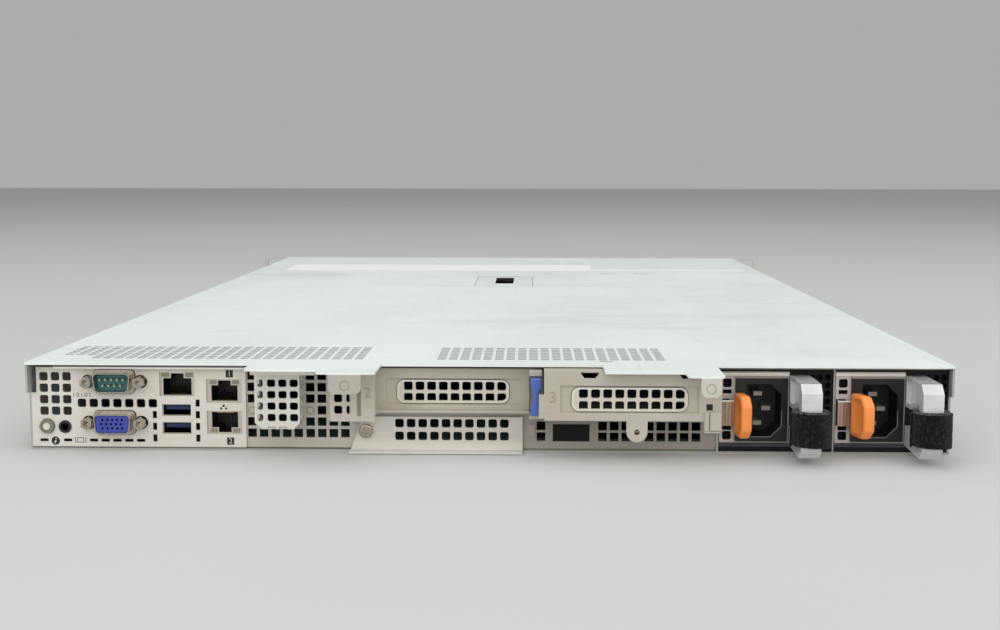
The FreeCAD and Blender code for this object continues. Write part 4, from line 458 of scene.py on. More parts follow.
# Network jacks: black moulded blocks, soldered to the board behind the panel.
# A folded nickel shield shows round each opening.
SHIELD_DEPTH = 1.15
jack_black = moulded("jack_black", tone("141414"), 0.45)
shield = jack_black.y < REAR + SHIELD_DEPTH * MM
jack_black.set(Base_Color=jack_black.mix(shield, jack_black.flow, tone("cfc9bd")), Metallic=shield,
               Roughness=shield * -0.15 + 0.45)
dress(jack_black, "network_jacks")

# Jack contacts: eight gold-plated wires in each jack, sprung across the opening opposite the latch notch.
# They are moulded into the block and lean towards the plug.
CONTACT_ROWS = ((-146.6, 28.2, 1), (-124.25, 25.4, 1), (-124.25, 16.9, -1))
CONTACT_COUNT, CONTACT_PITCH, CONTACT_DEPTH = 8, 1.02, 6.5
CONTACT_HALF = Vector((0.2, 4.5, 0.2))
CONTACT_LEAN = 0.26
gold = plating("gold_contacts", tone("d9b25a"), 0.25)
contacts = bmesh.new()
for across, height, lean in CONTACT_ROWS:
    for count in range(CONTACT_COUNT):
        offset = (count - (CONTACT_COUNT - 1) / 2) * CONTACT_PITCH
        middle = Vector((across + offset, PANEL_FACE + CONTACT_DEPTH, height))
        wire = add_block(contacts, middle - CONTACT_HALF, middle + CONTACT_HALF)
        bmesh.ops.rotate(contacts, cent=middle * MM, matrix=Matrix.Rotation(lean * CONTACT_LEAN, 3, "X"),
                         verts=wire)
add_piece("jack_contacts", contacts, gold, "chassis")

# Jack lamps: milky plastic light pipes in two corners of each shield, unlit.
# They lead the light of small lamps on the board to the panel.
PIPE_PLACES = ((-146.6, 35.1, 37.2, 3.8, 7.6), (-124.25, 31.7, 33.7, 3.6, 7.0), (-124.25, 8.6, 10.6, 3.6, 7.0))
PIPE_BACK, PIPE_FRONT, PIPE_ROUND = 1.6, 0.8, 0.15
lamp_milky = moulded("lamp_milky", tone("8f8b74"), 0.3)
lamps = bmesh.new()
for across, low, high, near, far in PIPE_PLACES:
    for side in (-1, 1):
        left, right = sorted((across + side * near, across + side * far))
        add_block(lamps, (left, PANEL_FACE + PIPE_FRONT, low), (right, PANEL_FACE + PIPE_BACK, high), PIPE_ROUND)
add_piece("jack_lamps", lamps, lamp_milky, "chassis")

# Round button and round jack: a milky push button with a pale lens, and a black moulded socket beside it.
# Both come out through round holes in the panel.
BUTTON_ACROSS, BUTTON_HEIGHT, LENS_RADIUS = -208.9, 11.5, 1.75


def off_axis(finish, across, height):
    """The square of the distance from a line along the chassis, given in millimetres."""
    aside, above = finish.x - across * MM, finish.z - height * MM
    return aside * aside + above * above


milky = moulded("milky_button", tone("8f8d78"), 0.3)
lens = off_axis(milky, BUTTON_ACROSS, BUTTON_HEIGHT) < (LENS_RADIUS * MM) ** 2
milky.set(Base_Color=milky.mix(lens, milky.flow, tone("d6d4c2")))
dress(milky, "id_button")
socket_black = moulded("socket_black", tone("0e0e0f"), 0.4)
dress(socket_black, "id_jack")

# Boards: glass-fibre laminate with copper tracks under green-black lacquer, held on the tray's standoffs.
# The sockets that stand on the main board are black.
BOARD_TOP = 6.0


def laminate(name, colour, track):
    """Lacquered laminate: tracks under the lacquer and a fine weave."""
    finish = Finish(name)
    lines = finish.node("ShaderNodeTexVoronoi", {"Vector": finish.place, "Scale": 260.0}, out="Distance",
                        distance="MANHATTAN")
    tracks = finish.ramp(lines, 0.62, 0.66)
    weave = finish.noise(1500.0, 2.0)
    finish.ground = finish.mix(tracks, colour, track)
    finish.set(Base_Color=finish.ground, Roughness=(weave - 0.5) * 0.15 + 0.42)
    return finish.bump(tracks + weave * 0.3, 0.00003, 0.4)


board_green = laminate("board_green", tone("0c1a14"), tone("182e23"))
socketed = board_green.z > (BOARD_TOP + 0.05) * MM
board_green.set(Base_Color=board_green.mix(socketed, board_green.ground, tone("1a1a1c")))
dress(board_green, "motherboard")
card_green = laminate("card_green", tone("0b1a14"), tone("1b3328"))
dress(card_green, "memory_modules", "riser_cards", "backplane")

# Board parts: black chip packages scattered over the open rear half of the board, and can capacitors that
# stand in rows behind the processors, all soldered. The packages keep clear of the riser card and one another.
CHIP_SIZES = ((14, 14, 1.6), (9, 9, 1.2), (6, 5, 1.0), (4, 3, 0.8), (12, 7, 1.4))
CHIP_GAP, CHIP_ROUND = 2, 0.15
FIELD_LEFT, FIELD_RIGHT, FIELD_REAR, FIELD_FRONT, FIELD_FULL = -205, 98, -320, -128, 90
RISER_CARD_FOOT = (14.0, -345.0, 20.0, -248.0)
CAN_RADIUS, CAN_TALL, CAN_ROUND = 3, 8, 0.5
CANS_IN_ROW, CAN_ROWS = 9, 2
CAN_PITCH_ACROSS, CAN_PITCH_ALONG = 8.6, 9.5
PROCESSOR_ACROSS, CAN_ALONG = 85, -119
chip_black = moulded("chip_black", tone("161617"), 0.55)
scatter = random.Random(21)
chips = bmesh.new()
taken = [RISER_CARD_FOOT]
while len(taken) < FIELD_FULL:
    width, length, thick = scatter.choice(CHIP_SIZES)
    left = scatter.uniform(FIELD_LEFT, FIELD_RIGHT - width)
    back = scatter.uniform(FIELD_REAR, FIELD_FRONT - length)
    right, front = left + width, back + length
    if all(left > far_right + CHIP_GAP or right < near_left - CHIP_GAP
           or back > far_front + CHIP_GAP or front < near_back - CHIP_GAP
           for near_left, near_back, far_right, far_front in taken):
        taken.append((left, back, right, front))
        add_block(chips, (left, back, BOARD_TOP), (right, front, BOARD_TOP + thick), CHIP_ROUND)
add_piece("board_chips", chips, chip_black, "chassis")
can_metal = plating("can_metal", tone("b9bcc0"), 0.3)
cans = bmesh.new()
for side in (-1, 1):
    for count in range(CANS_IN_ROW * CAN_ROWS):
        row, place = divmod(count, CANS_IN_ROW)
        centre = Vector((side * PROCESSOR_ACROSS + (place - CANS_IN_ROW // 2) * CAN_PITCH_ACROSS,
                         CAN_ALONG + row * CAN_PITCH_ALONG, BOARD_TOP + CAN_TALL / 2))
        can = bmesh.ops.create_cone(cans, segments=20, cap_ends=True, radius1=CAN_RADIUS * MM,
                                    radius2=CAN_RADIUS * MM, depth=CAN_TALL * MM,
                                    matrix=Matrix.Translation(centre * MM))["verts"]
        crown = [edge for vert in can if vert.co.z > centre.z * MM for edge in vert.link_edges
                 if edge.other_vert(vert).co.z > centre.z * MM and edge.is_manifold and len(edge.link_faces) == 2]
        ease(cans, list(set(crown)), CAN_ROUND, 2)
add_piece("board_capacitors", cans, can_metal, "chassis")

# Memory chips: nine black packages, soldered to each face of every memory module.
# The modules stand in three groups, beside and between the processors.
MODULE_GROUPS = ((-167.0, 6), (-41.8, 12), (129.0, 6))
MODULE_PITCH, MODULE_ALONG, MODULE_HALF = 7.6, -30, 0.65
CHIPS_ON_FACE, CHIP_PITCH, CHIP_HALF = 9, 14.0, 4.6
CHIP_LOW, CHIP_HIGH, CHIP_TOP = 21.0, 32.5, 1.6
memory_chips = bmesh.new()
for start, count in MODULE_GROUPS:
    for module in range(count):
        across = start + MODULE_PITCH * module
        for face in (-1, 1):
            near, far = sorted((across + face * MODULE_HALF, across + face * CHIP_TOP))
            for chip in range(CHIPS_ON_FACE):
                along = MODULE_ALONG + (chip - CHIPS_ON_FACE // 2) * CHIP_PITCH
                add_block(memory_chips, (near, along - CHIP_HALF, CHIP_LOW), (far, along + CHIP_HALF, CHIP_HIGH),
                          0.12, 1)
add_piece("memory_chips", memory_chips, chip_black, "chassis")

# Heatsinks and fans: bare aluminium fins, screwed down over the processors.
# The fans are black moulded housings with black rotors, set in a row behind the drives.
fin_metal = plating("fin_metal", tone("c9ccd0"), 0.38)
dress(fin_metal, "heatsinks")
fan_black = moulded("fan_black", tone("17181a"), 0.5)
dress(fan_black, "fan_housings", *[f"fan_rotor_{n}" for n in range(1, 7)])

# Power supply cases: plated steel boxes that slide into the cage from the rear.
# The end plate beside the inlet is painted black, and bands of painted highlight and painted shade lie across the
# end face.
SUPPLY_LEFT = {1: 109.3, 2: 163.3}
SUPPLY_LOW = 1.3
END_PLATE_LEFT, END_PLATE_DEPTH = 32.4, 4.2
CASE_WALL, CASE_WIDTH, CASE_DEEP, CASE_LOW, CASE_HIGH = 0.3, 52.0, 60.0, 1.6, 39.6
SILL_LOW, SILL_HIGH, TOP_SHADE_LOW = 3.4, 5.4, 39.1
HIGHLIGHT_LOW, HIGHLIGHT_HIGH = 37.2, 38.4
for number, left in SUPPLY_LEFT.items():
    case = zinc_sheet(f"power_case_{number}", tone("d2cbc5"), tone("9d958f"))
    painted = (case.x > (left + END_PLATE_LEFT) * MM) * (case.y < REAR + END_PLATE_DEPTH * MM)
    # Painted shade inside the case: the walls and floors of its pockets are dark.
    hollow = (between(case.y, PANEL_FACE + CASE_WALL, PANEL_FACE + CASE_DEEP)
              * between(case.x, left + CASE_WALL, left + CASE_WIDTH) * between(case.z, CASE_LOW, CASE_HIGH))
    rear_edge = case.y < REAR + CASE_WALL * MM
    # Painted shade along the top of the end face, under the cover, and a painted shade line at its foot.
    dark_bands = rear_edge * (1 - between(case.z, SILL_HIGH, TOP_SHADE_LOW))
    dark = painted.at_least(hollow).at_least(dark_bands)
    # A painted highlight band near the top of the end face, left of the black plate.
    patch(case, rear_edge * between(case.z, HIGHLIGHT_LOW, HIGHLIGHT_HIGH) * (1 - painted), tone("f4f1eb"))
    patch(case, dark, tone("0f0f10"))
    # Above that shade line, the strip under the inlet is dark grey.
    patch(case, dark_bands * between(case.z, SILL_LOW, SILL_HIGH), tone("47464a"))
    case.set(Metallic=(1 - dark) * SHEET_METALLIC)
    dress(case, f"psu_case_{number}")

# Mains inlets: black moulded blocks with three bare metal blades, clipped into the cases under a steel edge.
# A thin pale line along the mouth's lower edge is a painted highlight, where a fine moulded chamfer catches the
# light.
MOUTH_HALF_WIDTH, MOUTH_HALF_HEIGHT, MOUTH_CUT = 8.2, 12.4, 5.0
MOUTH_ACROSS, MOUTH_HEIGHT = 20.4, 21.0
BLADES_LEFT, BLADES_RIGHT, BLADES_LOW, BLADES_HIGH = 14.0, 25.0, 10.3, 31.3
BLADES_REAR, BLADES_FRONT = -351.7, -341.6
CLIP_EDGE = 36.2
LIP_WIDTH, LIP_PLANE = 0.5, -357.4
inlet_black = moulded("inlet_black", tone("0b0a0a"), 0.45)
first_blades, second_blades = (between(inlet_black.x, left + BLADES_LEFT, left + BLADES_RIGHT)
                               for left in SUPPLY_LEFT.values())
blades = ((first_blades + second_blades) * between(inlet_black.z, BLADES_LOW, BLADES_HIGH)
          * between(inlet_black.y, BLADES_REAR, BLADES_FRONT))
clip_edge = inlet_black.z > CLIP_EDGE * MM
bare_metal = blades.at_least(clip_edge)
inlet_black.set(Base_Color=inlet_black.mix(bare_metal, inlet_black.flow, tone("9b978e")),
                Metallic=bare_metal * 0.7)
for left in SUPPLY_LEFT.values():
    across = inlet_black.x - (left + MOUTH_ACROSS) * MM
    rise = inlet_black.z - MOUTH_HEIGHT * MM
    tall = rise.unsigned()
    flank = across.unsigned() - MOUTH_HALF_WIDTH * MM
    mitre = (across + tall - (MOUTH_HALF_WIDTH - MOUTH_CUT + MOUTH_HALF_HEIGHT) * MM) * math.sqrt(0.5)
    from_mouth = flank.at_least(mitre.at_least(tall - MOUTH_HALF_HEIGHT * MM))
    # A painted highlight along the chamfer under the mouth.
    lip_highlight = between(from_mouth, 0.0, LIP_WIDTH) * (rise < 0.0) * (inlet_black.y < LIP_PLANE * MM)
    patch(inlet_black, lip_highlight * 0.75, tone("77777a"))
dress(inlet_black, "psu_inlet_1", "psu_inlet_2")

# Leaf springs: thin strips of tempered steel beside each inlet, which carry the release latches.
# The rolled strip is streaked and straw-coloured, with a painted highlight along its top edge.
TOP_HIGHLIGHT_DEPTH = 0.6
leaf_steel = plating("leaf_steel", tone("9c8270"), 0.3)
rolled = leaf_steel.noise(900.0, 2.0, (1.0, 1.0, 0.02))
patch(leaf_steel, leaf_steel.ramp(rolled, 0.45, 0.6) * 0.7, tone("d0ab95"))
patch(leaf_steel, leaf_steel.ramp(rolled, 0.46, 0.34) * 0.6, tone("6b4435"))
leaf_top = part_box("psu_spring_1")[1][2]
# A painted highlight along the top edge.
patch(leaf_steel, leaf_steel.z > leaf_top - TOP_HIGHLIGHT_DEPTH * MM, tone("f6f2ea"))
dress(leaf_steel, "psu_spring_1", "psu_spring_2")

# Handles: clear moulded plastic loops on the painted end plates, slightly hazed and uneven.
# They are snapped into the end plate above and below.
clear = Finish("clear_handle", Base_Color=tone("fdfefd"), Transmission_Weight=0.4, IOR=1.49, Coat_Weight=0.7,
               Coat_Roughness=0.04)
clear.set(Roughness=clear.noise(120.0, 4.0) * 0.2 + 0.03)
clear.bump(clear.noise(45.0, 2.0), 0.0004, 0.25)
dress(clear, "psu_handle_1", "psu_handle_2")

# Handle straps: black hook-and-loop webbing, wound on itself round each handle's bar, with the pile outside.
# The outer turn slips a little down the bar, so its edge shows.
STRAP_WIDTH = 15.6
STRAP_THICK = 1.0
STRAP_TURNS = (5.85, 6.4, 6.95, 7.5, 7.9)
STRAP_OVAL = 1.18
STRAP_STEPS = 14
STRAP_ROWS = 12
SLIPPED_TURN, SLIP = 3, -0.9
STRAP_RIPPLE = 0.07
BAR_ACROSS, BAR_OUT, BAR_FOOT = 37.2, 26.5, 8.6
LOW_SELVAGE, TOP_SELVAGE = (8.0, 9.3), (24.75, 25.6)
webbing = Finish("webbing", Sheen_Weight=0.08, Sheen_Roughness=0.5, Specular_IOR_Level=0.2)
pile = webbing.node("ShaderNodeTexVoronoi", {"Vector": webbing.place, "Scale": 1500.0}, out="Distance")
tuft = webbing.noise(600.0, 4.0)
selvage = between(webbing.z, *TOP_SELVAGE) + between(webbing.z, *LOW_SELVAGE)
cloth = webbing.mix(webbing.ramp(tuft, 0.5, 0.72), tone("070708"), tone("2b2b2d"))
webbing.set(Base_Color=webbing.mix(selvage * webbing.ramp(tuft, 0.3, 0.6), cloth, tone("5d5d5f")),
            Roughness=tuft * 0.1 + 0.88)
webbing.bump(pile + tuft * 1.6, 0.0006, 1.0)
for number, left in SUPPLY_LEFT.items():
    bar = Vector((left + BAR_ACROSS, PANEL_FACE - BAR_OUT, SUPPLY_LOW + BAR_FOOT)) * MM
    strap_mesh = bmesh.new()
    start = [strap_mesh.verts.new(bar + Vector((STRAP_TURNS[0], 0, STRAP_WIDTH * row / STRAP_ROWS)) * MM)
             for row in range(STRAP_ROWS + 1)]
    band = [strap_mesh.edges.new(pair) for pair in zip(start, start[1:])]
    centre = bar.copy()
    for turn, radius in enumerate(STRAP_TURNS):
        slip = SLIP if turn == SLIPPED_TURN else 0.0
        wound = bmesh.ops.spin(strap_mesh, geom=band, cent=centre, axis=(0, 0, 1),
                               dvec=(0, 0, slip * MM / STRAP_STEPS), angle=math.pi, steps=STRAP_STEPS)
        band = [item for item in wound["geom_last"] if isinstance(item, bmesh.types.BMEdge)]
        following = STRAP_TURNS[min(turn + 1, len(STRAP_TURNS) - 1)]
        centre.x += (following - radius) * MM * (1 if turn % 2 == 0 else -1)
    ripple = random.Random(7 + number)
    for vert in strap_mesh.verts:
        away = (vert.co - bar) * Vector((1, 1, 0))
        vert.co += away.normalized() * ripple.uniform(-STRAP_RIPPLE, STRAP_RIPPLE) * MM
        vert.co.x = bar.x + (vert.co.x - bar.x) * STRAP_OVAL
    bmesh.ops.recalc_face_normals(strap_mesh, faces=strap_mesh.faces)
    bmesh.ops.solidify(strap_mesh, geom=strap_mesh.faces, thickness=STRAP_THICK * MM)
    strap = add_piece(f"handle_strap_{number}", strap_mesh, webbing, f"psu_{number}", True)
    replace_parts(strap, f"psu_strap_{number}")

# Release latches: orange moulded thumb pieces, riveted to the leaf springs.
# Each leans away from the spring and has a dish for the thumb on its left side.
THUMB_PROFILE = ((-3.0, 8.4), (-3.0, 28.4), (-13.4, 28.4), (-17.0, 24.2), (-17.0, 12.6), (-13.4, 8.4))
THUMB_LEFT, THUMB_THICK, THUMB_ROOT, THUMB_ROUND = 6.2, 5.0, -3.0, 1.25
THUMB_LEANS = {1: 0.12, 2: 0.26}
DISH_RINGS = ((0.6, 0.0), (0.5, -0.9), (1.5, -0.9), (1.7, -0.3))


def draw_out(mesh, face, shift):
    """Extrudes a face and moves it by a shift in millimetres."""
    pulled = bmesh.ops.extrude_face_region(mesh, geom=[face])["geom"]
    bmesh.ops.translate(mesh, vec=Vector(shift) * MM,
                        verts=[item for item in pulled if isinstance(item, bmesh.types.BMVert)])


thumb_orange = moulded("thumb_orange", tone("ff974a"), 0.36, 0.95)
for number, lean in THUMB_LEANS.items():
    thumb = bmesh.new()
    side = thumb.faces.new([thumb.verts.new(Vector((THUMB_LEFT, along, height)) * MM)
                            for along, height in THUMB_PROFILE])
    draw_out(thumb, side, (THUMB_THICK, 0, 0))
    bmesh.ops.recalc_face_normals(thumb, faces=thumb.faces)
    ease(thumb, thumb.edges[:], THUMB_ROUND, 4)
    dish = min(thumb.faces, key=lambda face: (round(face.calc_center_median().x, 6), -face.calc_area()))
    for thickness, depth in DISH_RINGS:
        bmesh.ops.inset_region(thumb, faces=[dish], thickness=thickness * MM, depth=depth * MM,
                               use_even_offset=True)
    for vert in thumb.verts:
        vert.co.x += (THUMB_ROOT * MM - vert.co.y) * lean
    bmesh.ops.translate(thumb, vec=Vector((SUPPLY_LEFT[number], PANEL_FACE, SUPPLY_LOW)) * MM, verts=thumb.verts)
    piece = add_piece(f"thumb_latch_{number}", thumb, thumb_orange, f"psu_{number}_latch", True)
    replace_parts(piece, f"psu_latch_{number}")

# Side rivets: flat plated steel heads along both sides of the tray.
# They hold the cages inside to the tray's walls.
RIVET_PLACES = ((-330, 8), (-330, 34), (-170, 34), (-60, 34), (60, 34), (130, 8), (130, 34), (200, 34),
                (320, 8), (320, 34))
TRAY_SIDE = 217.3
RIVET_FOOT, RIVET_CROWN, RIVET_PROUD = 2.6, 1.9, 0.6
rivets = bmesh.new()
for side in (-1, 1):
    for along, height in RIVET_PLACES:
        seat = (Matrix.Translation(Vector((side * TRAY_SIDE, along, height)) * MM)
                @ Matrix.Rotation(side * math.pi / 2, 4, "Y"))
        bmesh.ops.create_cone(rivets, segments=24, cap_ends=True, radius1=RIVET_FOOT * MM,
                              radius2=RIVET_CROWN * MM, depth=RIVET_PROUD * MM, matrix=seat)
add_piece("side_rivets", rivets, nickel, "chassis")

# Riser clip: a folded plate and two lips on the post beside slot 3, and a black plate behind the post's hook hole,
# a painted shadow that darkens the hole.
# The slit between the plate and the left lip is where the clip is bent.
POST_FACE = -376.0
CLIP_FOLDS = ((102.3, 14.8, 107.5, 23.5, 1.1, 0.3), (99.7, 14.6, 101.9, 23.5, 0.9, 0.35),
              (99.7, 13.8, 107.2, 14.5, 1.0, 0.25))
clip = bmesh.new()
for left, low, right, high, proud, rounding in CLIP_FOLDS:
    add_block(clip, (left, POST_FACE - proud, low), (right, POST_FACE, high), rounding)
add_piece("riser_clip", clip, blank_sheet, "chassis")
# A black plate behind the hook hole stands in for the shadow inside it.
hook = bmesh.new()
add_block(hook, (100.3, POST_FACE + 1.0, 23.7), (103.9, POST_FACE + 1.6, 27.3), 0.2)
add_piece("hook_hole_shadow", hook, ink, "chassis")

# Slot latch: a blue moulded lever on a pin beside the frame of slot 2.
# It has a narrow waist for the finger.
LATCH_OUTLINE = ((20.6, 20.0), (25.8, 20.0), (25.8, 23.6), (24.3, 25.4), (24.3, 31.2), (25.8, 33.0),
                 (25.8, 37.2), (20.6, 37.2), (20.6, 33.0), (21.5, 31.2), (21.5, 25.4), (20.6, 23.6))
LATCH_BACK, LATCH_DEPTH, LATCH_ROUND = -360.6, 9.4, 0.45
latch_blue = moulded("latch_blue", tone("4f6cbc"), 0.34, 0.8)
latch = bmesh.new()
back_face = latch.faces.new([latch.verts.new(Vector((across, LATCH_BACK, height)) * MM)
                             for across, height in LATCH_OUTLINE])
draw_out(latch, back_face, (0, -LATCH_DEPTH, 0))
bmesh.ops.recalc_face_normals(latch, faces=latch.faces)
ease(latch, latch.edges[:], LATCH_ROUND, 3)
piece = add_piece("waisted_latch", latch, latch_blue, "slot_lever", True)
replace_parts(piece, "slot_latch")

# Top cover: one bright galvanised sheet, punched with two fields of vents and lifted off in one piece.
# Two hoods fold down over the slots, each with a dimpled tab, and a drawn pan holds the cover's latch.
SHEET_UNDERSIDE = 41.7
WALL_LOW, WALL_HIGH = 41.83, 42.74
COVER_REAR, COVER_FRONT, COVER_HALF = -362.0, 184.5, 216.5
PAN_FLOOR, PAN_HALF, PAN_REAR, PAN_FRONT = 38.6, 24.0, 40.0, 140.0
TAB_DIMPLES, DIMPLE_FOOT, DIMPLE_FLAT = ((-62.8, 36.8), (100.4, 37.0)), 2.35, 1.75
cover_zinc = zinc_sheet("cover_zinc", tone("f5f9f4"), tone("ced6ce"))
folded = cover_zinc.z < SHEET_UNDERSIDE * MM
punched = (between(cover_zinc.z, WALL_LOW, WALL_HIGH) * between(cover_zinc.y, COVER_REAR, COVER_FRONT)
           * between(cover_zinc.x, -COVER_HALF, COVER_HALF))
pan_floor = ((cover_zinc.z < PAN_FLOOR * MM) * between(cover_zinc.x, -PAN_HALF, PAN_HALF)
             * between(cover_zinc.y, PAN_REAR, PAN_FRONT))
scuffed = cover_zinc.ramp(cover_zinc.noise(11.0, 5.0, (0.5, 1.6, 1.0), 0.6), 0.55, 0.72)
patch(cover_zinc, scuffed * 0.3, tone("c3ccc5"))
# Painted shade: the folded hoods, tabs and flanges are darker, and those on the left darker still.
patch(cover_zinc, folded * 0.8, tone("bdb9ad"))
patch(cover_zinc, folded * (cover_zinc.x < 0.0) * 0.6, tone("a39f94"))
# Painted shade on the walls of the vent holes and of the cut round the latch.
patch(cover_zinc, punched, tone("c6cac6"))
patch(cover_zinc, pan_floor, tone("2c2e2e"))
# A painted shade ring round each tab's dimple.
for across, height in TAB_DIMPLES:
    from_dimple = off_axis(cover_zinc, across, height)
    dimple_shade = (from_dimple < (DIMPLE_FOOT * MM) ** 2) * (from_dimple > (DIMPLE_FLAT * MM) ** 2) * folded
    patch(cover_zinc, dimple_shade * 0.4, tone("7f7b72"))
dress(cover_zinc, "top_cover")

# Cover latch: a flat lever of the same galvanised sheet, hinged in the cover's pan.
# It has a long finger hole, whose walls lie in shade.
HOLE_HALF, HOLE_REAR, HOLE_FRONT, HOLE_TOP = 7.3, 71.0, 127.0, 42.4
lever_zinc = zinc_sheet("lever_zinc", tone("f0f4ee"), tone("c6cec6"))
hole_wall = (between(lever_zinc.x, -HOLE_HALF, HOLE_HALF) * between(lever_zinc.y, HOLE_REAR, HOLE_FRONT)
             * (lever_zinc.z < HOLE_TOP * MM))
patch(lever_zinc, hole_wall, tone("3a3c3c"))
dress(lever_zinc, "cover_latch")

# Rack ears: thick plated steel, screwed to both sides of the chassis at the front.
# They are brushed across, unlike the tray.
ear_plate = zinc_sheet("ear_plate", tone("d4d6d0"), tone("a3a59f"), (1.0, 1.0, 0.1))
dress(ear_plate, "left_ear", "right_ear")

# Carrier levers: black moulded plastic, pinned to the drive carriers.
# Each has an orange touch point at its free end.
DRIVES = range(1, 5)
TOUCH_LEFT, TOUCH_RIGHT, TOUCH_LOW, TOUCH_HIGH, TOUCH_FACE = 3.0, 11.0, 9.8, 21.4, 375.4
lever_black = moulded("lever_black", tone("232427"), 0.5)
for number in DRIVES:
    lever_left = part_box(f"drive_lever_{number}")[0][0] / MM
    touch = (between(lever_black.x, lever_left + TOUCH_LEFT, lever_left + TOUCH_RIGHT)
             * between(lever_black.z, TOUCH_LOW, TOUCH_HIGH))
    patch(lever_black, touch * (lever_black.y > TOUCH_FACE * MM), tone("c25c2c"))
dress(lever_black, *[f"drive_lever_{number}" for number in DRIVES])

# Power button: a grey moulded button in the right ear, with the usual broken ring and stroke printed on it.
# It is sprung and pressed in with a finger.
RING_GAP, RING_RADII = 0.6, (1.5, 1.9)
STROKE_OUTLINE = ((-0.2, 0.4), (0.2, 0.4), (0.2, 2.2), (-0.2, 2.2))
button_grey = moulded("button_grey", tone("6f7377"), 0.4)
dress(button_grey, "power_button")
low, high = (Vector(corner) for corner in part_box("power_button"))
button_middle = (low + high) / 2
power_sign = bmesh.new()
arc = [power_sign.verts.new(Vector((math.sin(RING_GAP), 0, math.cos(RING_GAP))) * reach * MM)
       for reach in RING_RADII]
bmesh.ops.spin(power_sign, geom=[power_sign.edges.new(arc)], cent=(0, 0, 0), axis=(0, 1, 0), dvec=(0, 0, 0),
               angle=2 * (math.pi - RING_GAP), steps=28)
power_sign.faces.new([power_sign.verts.new(Vector((across, 0, height)) * MM)
                      for across, height in STROKE_OUTLINE])
bmesh.ops.recalc_face_normals(power_sign, faces=power_sign.faces)
bmesh.ops.solidify(power_sign, geom=power_sign.faces, thickness=INK_THICK * MM)
bmesh.ops.translate(power_sign, vec=(button_middle.x, high.y, button_middle.z), verts=power_sign.verts)
add_piece("power_sign", power_sign, pale_ink, "front_button")

# Drive carriers: black moulded bezels on trays that slide into the drive cage, each with a bare metal disk.
# Two small lamps show at the right of every bezel.
LAMP_HEIGHTS, LAMP_INSET, LAMP_RADIUS, LAMP_FACE = (11.5, 19.5), 2.0, 1.0, 375.5
carrier = moulded("carrier", tone("34373a"), 0.5)
disk = carrier.y < -REAR
carrier.set(Base_Color=carrier.mix(disk, carrier.flow, tone("a9acae")), Metallic=disk * 0.9)
for number in DRIVES:
    carrier_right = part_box(f"drive_carrier_{number}")[1][0] / MM
    for height in LAMP_HEIGHTS:
        lamp_dot = off_axis(carrier, carrier_right - LAMP_INSET, height) < (LAMP_RADIUS * MM) ** 2
        patch(carrier, lamp_dot * (carrier.y > LAMP_FACE * MM), tone("b9c4ab"))
dress(carrier, *[f"drive_carrier_{number}" for number in DRIVES])

# Panel screw: a plated steel pan-head screw with a cross recess.
# It is driven through the lower slot panel into the rear wall.
HEAD_RADIUS, HEAD_HEIGHT, RECESS_DEPTH = 3.3, 2.2, 1.2
CROWN_ROUND, CROWN_RIM = 0.7, 0.6
CROSS_LONG, CROSS_SHORT, CROSS_TURN = 1.75, 0.75, 0.4
SCREW_PLACE = Vector((-57.0, PANEL_FACE - 1.0, 10.3))
screw = bmesh.new()
bmesh.ops.create_circle(screw, cap_ends=True, radius=HEAD_RADIUS * MM, segments=32)
draw_out(screw, screw.faces[:][0], (0, 0, HEAD_HEIGHT))
bmesh.ops.recalc_face_normals(screw, faces=screw.faces)
crown = max(screw.faces, key=lambda face: face.calc_center_median().z)
ease(screw, list(crown.edges), CROWN_ROUND, 3)
crown = max(screw.faces, key=lambda face: face.calc_center_median().z)
bmesh.ops.inset_individual(screw, faces=[crown], thickness=CROWN_RIM * MM)
crown = max(screw.faces, key=lambda face: (round(face.calc_center_median().z, 7), len(face.verts)))
for vert in crown.verts:
    turn = math.atan2(vert.co.y, vert.co.x)
    reach = CROSS_LONG if abs(math.cos(2 * turn)) > 0.8 else CROSS_SHORT
    vert.co.x, vert.co.y = reach * MM * math.cos(turn), reach * MM * math.sin(turn)
draw_out(screw, crown, (0, 0, -RECESS_DEPTH))
bmesh.ops.delete(screw, geom=[crown], context="FACES_ONLY")
bmesh.ops.transform(screw, verts=screw.verts,
                    matrix=Matrix.Translation(SCREW_PLACE * MM) @ Matrix.Rotation(math.pi / 2, 4, "X")
                    @ Matrix.Rotation(CROSS_TURN, 4, "Z"))
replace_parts(add_piece("cross_screw", screw, nickel, "chassis"), "panel_screw")

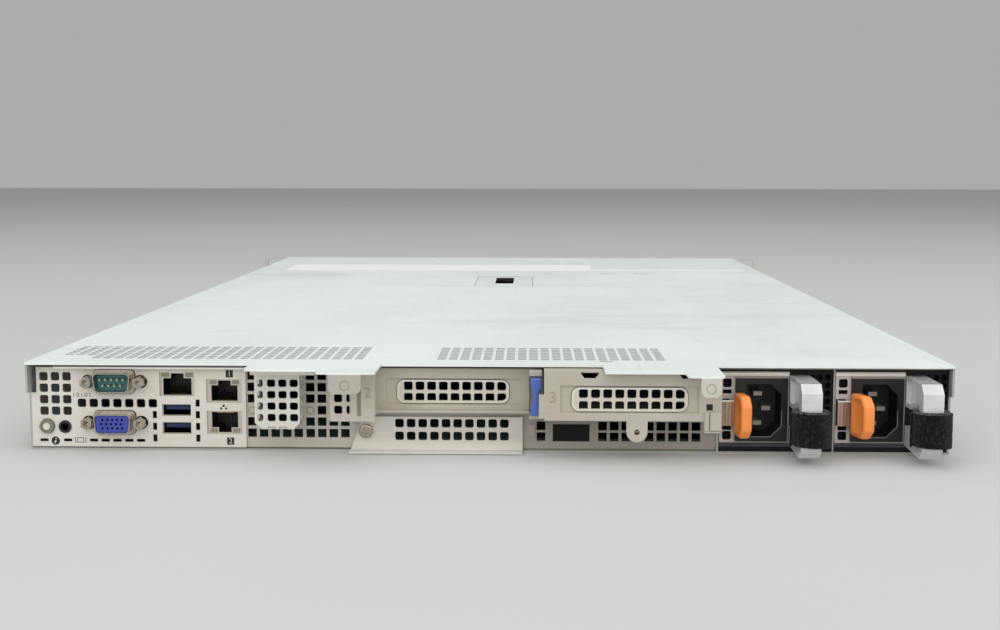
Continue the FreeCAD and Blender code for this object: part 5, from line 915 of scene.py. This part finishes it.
# Studio: a plain pale floor under an even grey light.
# Three large soft lamps hang round the server, one overhead and two that fill the rear and the side.
FLOOR_HALF = 6.0
LIGHT_COLOUR, LIGHT_STRENGTH = (0.80, 0.82, 0.84, 1), 0.5
LAMPS = (("overhead", (0.1, -0.1, 2.2), (0, 0, 0), 3.0, 3.0, 24.0),
         ("rear_fill", (-0.6, -2.2, 1.25), (0, -0.3, 0.02), 3.6, 2.0, 35.0),
         ("side_fill", (1.8, -1.4, 1.15), (0.1, -0.3, 0.02), 2.4, 1.7, 12.0))
floor_mesh = bmesh.new()
bmesh.ops.create_grid(floor_mesh, x_segments=1, y_segments=1, size=FLOOR_HALF)
floor_data = bpy.data.meshes.new("floor")
floor_mesh.to_mesh(floor_data)
floor_mesh.free()
floor = bpy.data.objects.new("floor", floor_data)
bpy.context.scene.collection.objects.link(floor)
floor_pale = Finish("floor_pale", Roughness=0.9)
floor_pale.set(Base_Color=floor_pale.mix(floor_pale.noise(3.0), tone("d2d2d0"), tone("cacac8")))
floor_data.materials.append(floor_pale.material)

world = bpy.data.worlds.new("studio")
bpy.context.scene.world = world
world.use_nodes = True
backdrop = world.node_tree.nodes["Background"].inputs
backdrop["Color"].default_value = LIGHT_COLOUR
backdrop["Strength"].default_value = LIGHT_STRENGTH
for name, place, target, width, height, power in LAMPS:
    lamp_data = bpy.data.lights.new(name, "AREA")
    lamp_data.shape = "RECTANGLE"
    lamp_data.size = width
    lamp_data.size_y = height
    lamp_data.energy = power
    lamp = bpy.data.objects.new(name, lamp_data)
    lamp.location = place
    lamp.rotation_euler = (Vector(target) - Vector(place)).to_track_quat("-Z", "Y").to_euler()
    bpy.context.scene.collection.objects.link(lamp)

# Camera: at the photograph's viewing angle, low behind the server and a little above its cover.
# It is tipped down, turned slightly aside and almost level.
YAW, PITCH, ROLL = 0.022, 0.1103, 0.0012
CAMERA_PLACE = (0.020359, -1.000842, 0.136717)
SENSOR_WIDTH, FOCAL_LENGTH = 36.0, 49.95
level_right = Vector((math.cos(YAW), math.sin(YAW), 0))
ahead = Vector((-math.sin(YAW) * math.cos(PITCH), math.cos(YAW) * math.cos(PITCH), -math.sin(PITCH)))
level_up = level_right.cross(ahead)
tilted_right = math.cos(ROLL) * level_right + math.sin(ROLL) * level_up
tilted_up = math.cos(ROLL) * level_up - math.sin(ROLL) * level_right
camera_data = bpy.data.cameras.new("photo_camera")
camera_data.sensor_width = SENSOR_WIDTH
camera_data.lens = FOCAL_LENGTH
camera = bpy.data.objects.new("photo_camera", camera_data)
camera.matrix_world = (Matrix.Translation(CAMERA_PLACE)
                       @ Matrix((tilted_right, tilted_up, -ahead)).transposed().to_4x4())
bpy.context.scene.collection.objects.link(camera)
bpy.context.scene.camera = camera
bpy.context.scene.view_settings.view_transform = "Standard"
